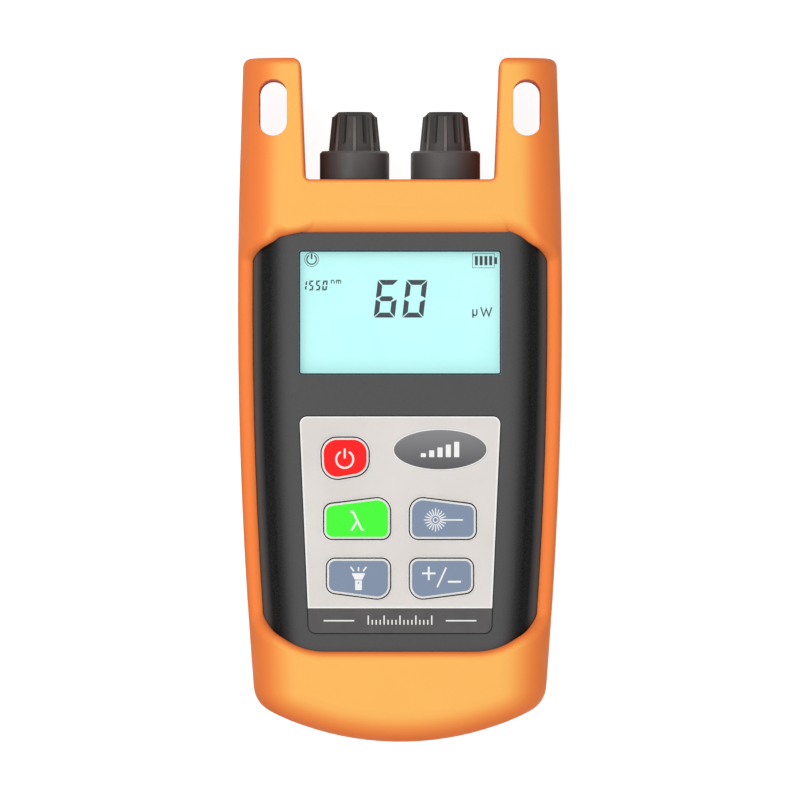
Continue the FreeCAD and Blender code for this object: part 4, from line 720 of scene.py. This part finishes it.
def window_lip():
    """The rubber round along the window's straight top edge, which runs out into the shoulders."""
    section = lip_section()
    places = [LIP_REACH * (2 * step / LIP_STATIONS - 1) for step in range(LIP_STATIONS + 1)]
    corners, faces = [], []
    for x in places:
        run_out = max(0.0, (abs(x) - LIP_REACH + LIP_RUN_OUT) / LIP_RUN_OUT)
        rise = LIP_PROUD - LIP_SINK * run_out ** 2
        corners += [(x * MM, y * MM, (z + rise) * MM) for y, z in section]
    count = len(section)
    for row in range(LIP_STATIONS):
        for step in range(count):
            first, second = row * count + step, row * count + (step + 1) % count
            faces.append((first, second, second + count, first + count))
    faces += [tuple(range(count)), tuple(reversed(range(len(corners) - count, len(corners))))]
    mesh = bpy.data.meshes.new("window_lip")
    mesh.from_pydata(corners, [], faces)
    outward = bmesh.new()
    outward.from_mesh(mesh)
    bmesh.ops.recalc_face_normals(outward, faces=outward.faces)
    outward.to_mesh(mesh)
    outward.free()
    for polygon in mesh.polygons:
        polygon.use_smooth = len(polygon.vertices) == 4
    piece = bpy.data.objects.new("window_lip", mesh)
    bpy.context.scene.collection.objects.link(piece)
    mesh.materials.append(NODES["rubber_holster"].data.materials[0])
    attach(piece, "meter")


# ---------------------------------------------------------------- overlay


def panel_print_and_highlight(name, loops, level, edge=0.0):
    """White print on the panel, also used for painted highlights along its edges."""
    flat_piece(name, loops, level - SUNK, level + MARK, WHITE, "meter", edge=edge)


def strip_marks(line):
    """Two dashes with a tick scale between them, along a line at this place on Y."""
    marks = []
    for side in (-1, 1):
        left = side * DASH_PLACE - DASH_LENGTH / 2
        marks.append(bar(left, left + DASH_LENGTH, line - DASH_WIDTH / 2, line + DASH_WIDTH / 2))
    foot = line - TICK_FOOT
    for place in range(-TICKS_A_SIDE, TICKS_A_SIDE + 1):
        height = SHORT_TICK if place % 4 else LONG_TICK
        marks.append(bar(place - TICK_WIDTH / 2, place + TICK_WIDTH / 2, foot, foot + height))
    return marks


def dress_overlay():
    """Painted highlights along the panel's edge and round the keys' openings, and the marks of the lower
    strip.
    """
    low, high = extent("keypad_overlay")
    outer, *openings = top_outlines("keypad_overlay")
    # Painted highlight: a white line just inside the panel's edge, where its edge catches the light.
    border = [moved_in(outer, inset) for inset in (BORDER_INSET, BORDER_INSET + BORDER_WIDTH)]
    panel_print_and_highlight("overlay_edge_highlight", border, high.z, HIGHLIGHT_EDGE)
    for number, opening in enumerate(openings, 1):
        # Painted highlight: a thin white line round each key's opening.
        rim = [moved_in(opening, -RIM_GAP - RIM_WIDTH), moved_in(opening, -RIM_GAP)]
        panel_print_and_highlight(f"opening_rim_{number}", rim, high.z, HIGHLIGHT_EDGE)
    for number, mark in enumerate(strip_marks(low.y + STRIP_HEIGHT / 2), 1):
        panel_print_and_highlight(f"strip_mark_{number}", [mark], high.z - STRIP_DEPTH)


def badge():
    """An oval plate on the panel, with rising bars."""
    low, high = extent("keypad_overlay")
    x, y = low.x + BADGE_RIGHT, high.y - BADGE_DROP
    plate = ellipse(x, y, BADGE_HALF_WIDTH, BADGE_HALF_HEIGHT)
    flat_piece("badge_plate", [plate], high.z - SUNK, high.z + BADGE_THICKNESS, badge_metal(),
               "meter", edge=BADGE_EDGE)
    rim = [ellipse(x, y, BADGE_HALF_WIDTH + growth, BADGE_HALF_HEIGHT + growth)
           for growth in (BADGE_RIM_OUT, -BADGE_RIM_IN)]
    flat_piece("badge_rim", rim, high.z - SUNK, high.z + BADGE_RIM_THICKNESS, WHITE,
               "meter", edge=BADGE_RIM_EDGE)
    foot = y - LEVEL_BARS_BELOW
    for number in range(LEVEL_BARS):
        left = x - LEVEL_BARS_LEFT + number * LEVEL_BAR_PITCH
        head = foot + LEVEL_BAR_HEIGHT + number * LEVEL_BAR_RISE
        level_bar = bar(left, left + LEVEL_BAR_WIDTH, foot, head, LEVEL_BAR_ROUND)
        panel_print_and_highlight(f"badge_bar_{number + 1}", [level_bar], high.z + BADGE_THICKNESS)


# ---------------------------------------------------------------- display

SEGMENTS = {"0": "abcdef", "1": "bc", "5": "afgcd", "6": "afgedc"}


def digit(number, wide, tall, thick, gap):
    """The lit segments of a seven-segment digit that stands on the origin."""
    cut = gap / 2
    left, right = thick + cut, wide - thick - cut
    half, upper, lower = tall / 2, (tall + thick) / 2, (tall - thick) / 2
    shapes = {
        "a": [(cut, tall), (wide - cut, tall), (right, tall - thick), (left, tall - thick)],
        "d": [(left, thick), (right, thick), (wide - cut, 0), (cut, 0)],
        "g": [(cut + thick / 2, half), (left, upper), (right, upper),
              (wide - cut - thick / 2, half), (right, lower), (left, lower)],
        "e": [(0, cut), (0, half - cut), (thick, lower - cut), (thick, left)],
        "f": [(0, half + cut), (0, tall - cut), (thick, tall - left), (thick, upper + cut)],
    }
    shapes["b"] = [(wide - x, y) for x, y in shapes["f"]]
    shapes["c"] = [(wide - x, y) for x, y in shapes["e"]]
    return [[Vector(point) for point in shapes[name]] for name in SEGMENTS[number]]


def reading(text, wide, tall, thick, gap, pitch):
    """A row of digits."""
    loops = []
    for place, number in enumerate(text):
        loops += placed(digit(number, wide, tall, thick, gap), place * pitch, 0)
    return loops


def letter_mu(size, thick):
    """The Greek letter for a millionth."""
    bowl = [(0, size), (0, 0.25 * size), (0.18 * size, 0.04 * size), (0.45 * size, 0.04 * size),
            (0.62 * size, 0.25 * size), (0.62 * size, size)]
    return [stroke(bowl, thick), stroke([(0, 0.3 * size), (0, -0.35 * size)], thick)]


def letter_m(size, thick):
    """A small m."""
    left = [(0, 0), (0, size)]
    first = [(0, 0.6 * size), (0.2 * size, size), (0.45 * size, size), (0.6 * size, 0.72 * size),
             (0.6 * size, 0)]
    second = [(point[0] + 0.6 * size, point[1]) for point in first]
    return [stroke(left, thick), stroke(first, thick), stroke(second, thick)]


def letter_n(thick):
    """A small n of 0.9 mm."""
    arch = [(0, 0.55), (0.2, 0.88), (0.5, 0.88), (0.72, 0.62), (0.72, 0)]
    return [stroke([(0, 0), (0, 0.9)], thick), stroke(arch, thick)]


def letter_w(size, thick):
    """A capital W."""
    path = [(0, size), (0.32 * size, 0), (0.62 * size, 0.8 * size), (0.92 * size, 0), (1.24 * size, size)]
    return [stroke(path, thick)]


def power_sign():
    """The power sign in a thin ring."""
    ring = stroke(arc_path(0, 0, 1.75, 0, 360, 40), 0.14)
    return [ring, stroke(arc_path(0, 0, 1.2, 122, 418), 0.3), bar(-0.19, 0.19, 0.1, 1.5)]


def battery_sign(right, top):
    """A full battery near the display's upper right corner: its outline, and its tip and cells."""
    start, end, foot, head = right - 7.35, right - 1.75, top - 4.5, top - 0.8
    line = 0.12
    outline = [bar(start, end, foot, head), bar(start + line, end - line, foot + line, head - line)]
    parts = [bar(end, end + 0.65, foot + 1.0, head - 1.0)]
    for number in range(4):
        left = start + 0.65 + 1.2 * number
        parts.append(bar(left, left + 0.75, foot + 0.68, head - 0.68))
    return outline, parts


def display_print(name, loops):
    """A dark mark on the display's glass."""
    level = extent("lcd_glass")[1].z
    flat_piece(name, loops, level, level + MARK, DARK, "meter")


def display_marks():
    """Everything the display shows: power sign, wavelength, reading, unit and battery."""
    low, high = extent("display_window")
    left, right = low.x + DISPLAY_MARGIN, high.x - DISPLAY_MARGIN
    foot, top = low.y + DISPLAY_MARGIN, high.y - DISPLAY_MARGIN
    wavelength = reading("1550", wide=1.2, tall=2.5, thick=0.4, gap=0.08, pitch=1.72)
    power = reading("60", wide=5.3, tall=9.5, thick=1.25, gap=0.36, pitch=7.2)
    battery_outline, battery_parts = battery_sign(right, top)
    loops = [
        *placed(power_sign(), left + 3.3, top - 2.35),
        *placed(wavelength, left + 0.75, top - 10.15, DIGIT_SLANT),
        *placed(letter_n(0.22), left + 8.25, top - 8.45),
        *placed(letter_m(0.9, 0.22), left + 9.55, top - 8.45),
        *placed(power, left + 18.95, top - 17.0, DIGIT_SLANT),
        *placed(letter_mu(1.6, 0.34), right - 7.2, top - 16.5),
        *placed(letter_w(2.2, 0.34), right - 5.2, top - 16.6),
        *battery_parts,
    ]
    display_print("display_battery_frame", battery_outline)
    for number, loop in enumerate(loops, 1):
        display_print(f"display_mark_{number}", [loop])
    gap = 0.02
    edge = bar(left + gap, right - gap, foot + gap, top - gap, 0.8)
    flat_piece("display_border", [edge, moved_in(edge, EDGE_LINE)], high.z, high.z + MARK, DARK,
               "meter")


# ---------------------------------------------------------------- materials of the CAD nodes

# How far below its top a key turns from white to dark, the dark being painted shade for the gap round the
# key, and half of the blend between them.
KEY_RIM = 0.5
KEY_BLEND = 0.05


def key_plastic(top):
    """White keys, painted dark below a rim round the top: painted shade in the gap round each key."""
    made = Material("key_plastic", tone(245, 243, 240), roughness=0.4)
    made.soft_edges(0.15)
    # Painted shade: the key's sides, seen down the gap round it, are made dark.
    turn = top - KEY_RIM
    rim_above_painted_shade = made.spread(made.along("Z"), 0, 1, (turn - KEY_BLEND) * MM, (turn + KEY_BLEND) * MM)
    made.colour(made.blend_colour(rim_above_painted_shade, tone(24, 24, 24), tone(244, 242, 239)))
    made.rough(made.spread(made.noise(2, 3), 0.36, 0.46))
    return made.data


def dress_cad():
    """Give every CAD node its material."""
    black = plain_plastic("port_plastic", tone(78, 76, 76), roughness=0.5, wear=0.08, edge=0.2)
    nickel = turned_metal("nickel_plate", tone(205, 204, 200))
    steel = turned_metal("screw_steel", tone(150, 150, 152), 0.35)
    inner = plain_plastic("inner_plastic", tone(40, 40, 41))
    battery = plain_plastic("battery_sleeve", tone(60, 96, 60), roughness=0.35)
    key = key_plastic(extent("power_key")[1].z)
    materials = {
        "rubber_holster": holster_rubber(),
        "front_shell": case_plastic("case_front", True),
        "rear_shell": case_plastic("case_rear", False),
        "battery_door": case_plastic("case_door", False),
        "display_window": clear_pane(),
        "lcd_glass": display_glass(),
        "lcd_backlight": plain_plastic("light_guide", tone(235, 240, 235), roughness=0.3),
        "lcd_frame": inner,
        "elastomer_connector": plain_plastic("zebra_rubber", tone(205, 120, 150), roughness=0.6),
        "keypad_overlay": overlay_film(),
        "keypad_mat": plain_plastic("mat_rubber", tone(120, 120, 120), roughness=0.7),
        "main_board": circuit_green(),
        "microcontroller": plain_plastic("chip_plastic", tone(36, 36, 38), roughness=0.5),
        "photodetector": turned_metal("gold_can", tone(214, 176, 96)),
        "laser_module": turned_metal("brass_housing", tone(190, 152, 82)),
        "torch_led": plain_plastic("clear_lamp", tone(238, 240, 236), roughness=0.12),
        "contact_plates": steel,
        "leaf_springs": steel,
        "housing_screws": steel,
        "board_screws": steel,
    }
    for port in ("power_port", "laser_port"):
        materials[port + "_collar"] = black
        materials[port + "_cap"] = cap_rubber(port)
        materials[port + "_adapter"] = nickel
        materials[port + "_sleeve"] = plain_plastic(
            port + "_ceramic", tone(240, 238, 232), roughness=0.25)
    for number in (1, 2, 3):
        materials[f"battery_{number}"] = battery
    for name in KEYS:
        materials[name] = key
    for name, piece in NODES.items():
        piece.data.materials.clear()
        piece.data.materials.append(materials[name])


# ---------------------------------------------------------------- floor, light and camera

# The camera stands CAMERA_HEIGHT above the meter's middle and takes in FRAME_WIDTH there.
CAMERA_HEIGHT = 3000.0
CAMERA_REACH = 10000.0
FRAME_WIDTH = 202.6
SENSOR = 36.0

# The light from all round, and the floor: its level below the meter, half its side, how much light it
# gives back and how bright it looks by itself.
SURROUND = 0.45
FLOOR_GAP = 0.2
FLOOR_REACH = 3000.0
FLOOR_GREY = (0.35, 0.35, 0.35, 1)
FLOOR_GLOW = 0.92


def backdrop_rays(nodes, links):
    """One where a camera, glossy or transmission ray looks, and nought elsewhere."""
    path = nodes.new("ShaderNodeLightPath")
    total = path.outputs["Is Camera Ray"]
    for name in ("Is Glossy Ray", "Is Transmission Ray"):
        larger = nodes.new("ShaderNodeMath")
        larger.operation = "MAXIMUM"
        links.new(total, larger.inputs[0])
        links.new(path.outputs[name], larger.inputs[1])
        total = larger.outputs[0]
    return total


def surroundings():
    """Even soft light from all round, seen as white."""
    world = bpy.data.worlds.new("studio")
    world.use_nodes = True
    bpy.context.scene.world = world
    nodes, links = world.node_tree.nodes, world.node_tree.links
    soft = nodes["Background"]
    soft.inputs["Color"].default_value = (1, 1, 1, 1)
    soft.inputs["Strength"].default_value = SURROUND
    white = nodes.new("ShaderNodeBackground")
    white.inputs["Strength"].default_value = 1.0
    white.inputs["Color"].default_value = (1, 1, 1, 1)
    mix = nodes.new("ShaderNodeMixShader")
    links.new(backdrop_rays(nodes, links), mix.inputs[0])
    links.new(soft.outputs[0], mix.inputs[1])
    links.new(white.outputs[0], mix.inputs[2])
    links.new(mix.outputs[0], nodes["World Output"].inputs["Surface"])


def area_light(name, place, size, level):
    """A square lamp that looks at the meter's middle; level is what it adds to a white surface."""
    place = Vector(place)
    lamp = bpy.data.lights.new(name, "AREA")
    lamp.size = size * MM
    lamp.energy = level * math.pi ** 2 * (place.length * MM) ** 2 / (place.z / place.length)
    made = bpy.data.objects.new(name, lamp)
    bpy.context.scene.collection.objects.link(made)
    made.location = place * MM
    made.rotation_euler = (-place).to_track_quat("-Z", "Y").to_euler()


def floor_white():
    """Matt ground with a glow that the camera, gloss and glass see, but that lights no matt surface."""
    material = bpy.data.materials.new("floor_white")
    material.use_nodes = True
    nodes, links = material.node_tree.nodes, material.node_tree.links
    nodes.remove(nodes["Principled BSDF"])
    matt = nodes.new("ShaderNodeBsdfDiffuse")
    matt.inputs["Color"].default_value = FLOOR_GREY
    glow = nodes.new("ShaderNodeEmission")
    glow.inputs["Strength"].default_value = 1.0
    dark = nodes.new("ShaderNodeEmission")
    dark.inputs["Strength"].default_value = 0.0
    seen = nodes.new("ShaderNodeMath")
    seen.operation = "MULTIPLY"
    seen.inputs[1].default_value = FLOOR_GLOW
    shown = nodes.new("ShaderNodeMixShader")
    both = nodes.new("ShaderNodeAddShader")
    for source, target in (
        (backdrop_rays(nodes, links), seen.inputs[0]),
        (seen.outputs[0], shown.inputs[0]),
        (dark.outputs[0], shown.inputs[1]),
        (glow.outputs[0], shown.inputs[2]),
        (matt.outputs[0], both.inputs[0]),
        (shown.outputs[0], both.inputs[1]),
        (both.outputs[0], nodes["Material Output"].inputs["Surface"]),
    ):
        links.new(source, target)
    return material


def floor():
    """A plain pale floor that shows a soft shadow."""
    mesh = bpy.data.meshes.new("floor")
    reach, level = FLOOR_REACH * MM, -FLOOR_GAP * MM
    corners = [(x * reach, y * reach, level) for x, y in ((-1, -1), (1, -1), (1, 1), (-1, 1))]
    mesh.from_pydata(corners, [], [(0, 1, 2, 3)])
    mesh.materials.append(floor_white())
    piece = bpy.data.objects.new("floor", mesh)
    bpy.context.scene.collection.objects.link(piece)


def camera():
    """Straight above the meter, with the ports at the top of the picture."""
    lens = bpy.data.cameras.new("camera")
    depth = extent("rubber_holster")[1].z
    lens.sensor_width = SENSOR
    lens.lens = SENSOR * CAMERA_HEIGHT / FRAME_WIDTH
    lens.clip_end = CAMERA_REACH * MM
    view = bpy.data.objects.new("camera", lens)
    bpy.context.scene.collection.objects.link(view)
    view.location = (0, 0, (depth / 2 + CAMERA_HEIGHT) * MM)
    bpy.context.scene.camera = view


# ---------------------------------------------------------------- the scene

bpy.context.scene.view_settings.view_transform = "Standard"
# White for print, and for the panel's painted highlights.
WHITE = ink("white_print_and_highlight", tone(248, 248, 246))
DARK = ink("display_ink", tone(26, 34, 46), 0.5)
KEY_GREY = tone(133, 148, 172)

camera()
surroundings()
area_light("key_light", place=(-500, 520, 1100), size=700, level=0.36)
area_light("fill_light", place=(420, -760, 1000), size=900, level=0.21)
floor()
dress_cad()
window_lip()
dress_key("power_key", tone(255, 34, 34), power_glyph(), (-0.1, -0.3))
dress_key("wavelength_key", tone(75, 255, 60), lambda_glyph(), (0, -0.5))
dress_key("laser_key", KEY_GREY, laser_glyph(), (-1.85, -0.3))
dress_key("torch_key", KEY_GREY, torch_glyph(), (0, 0.1))
dress_key("reference_key", KEY_GREY, reference_glyph(), (0, 0.3))
dress_overlay()
badge()
display_marks()
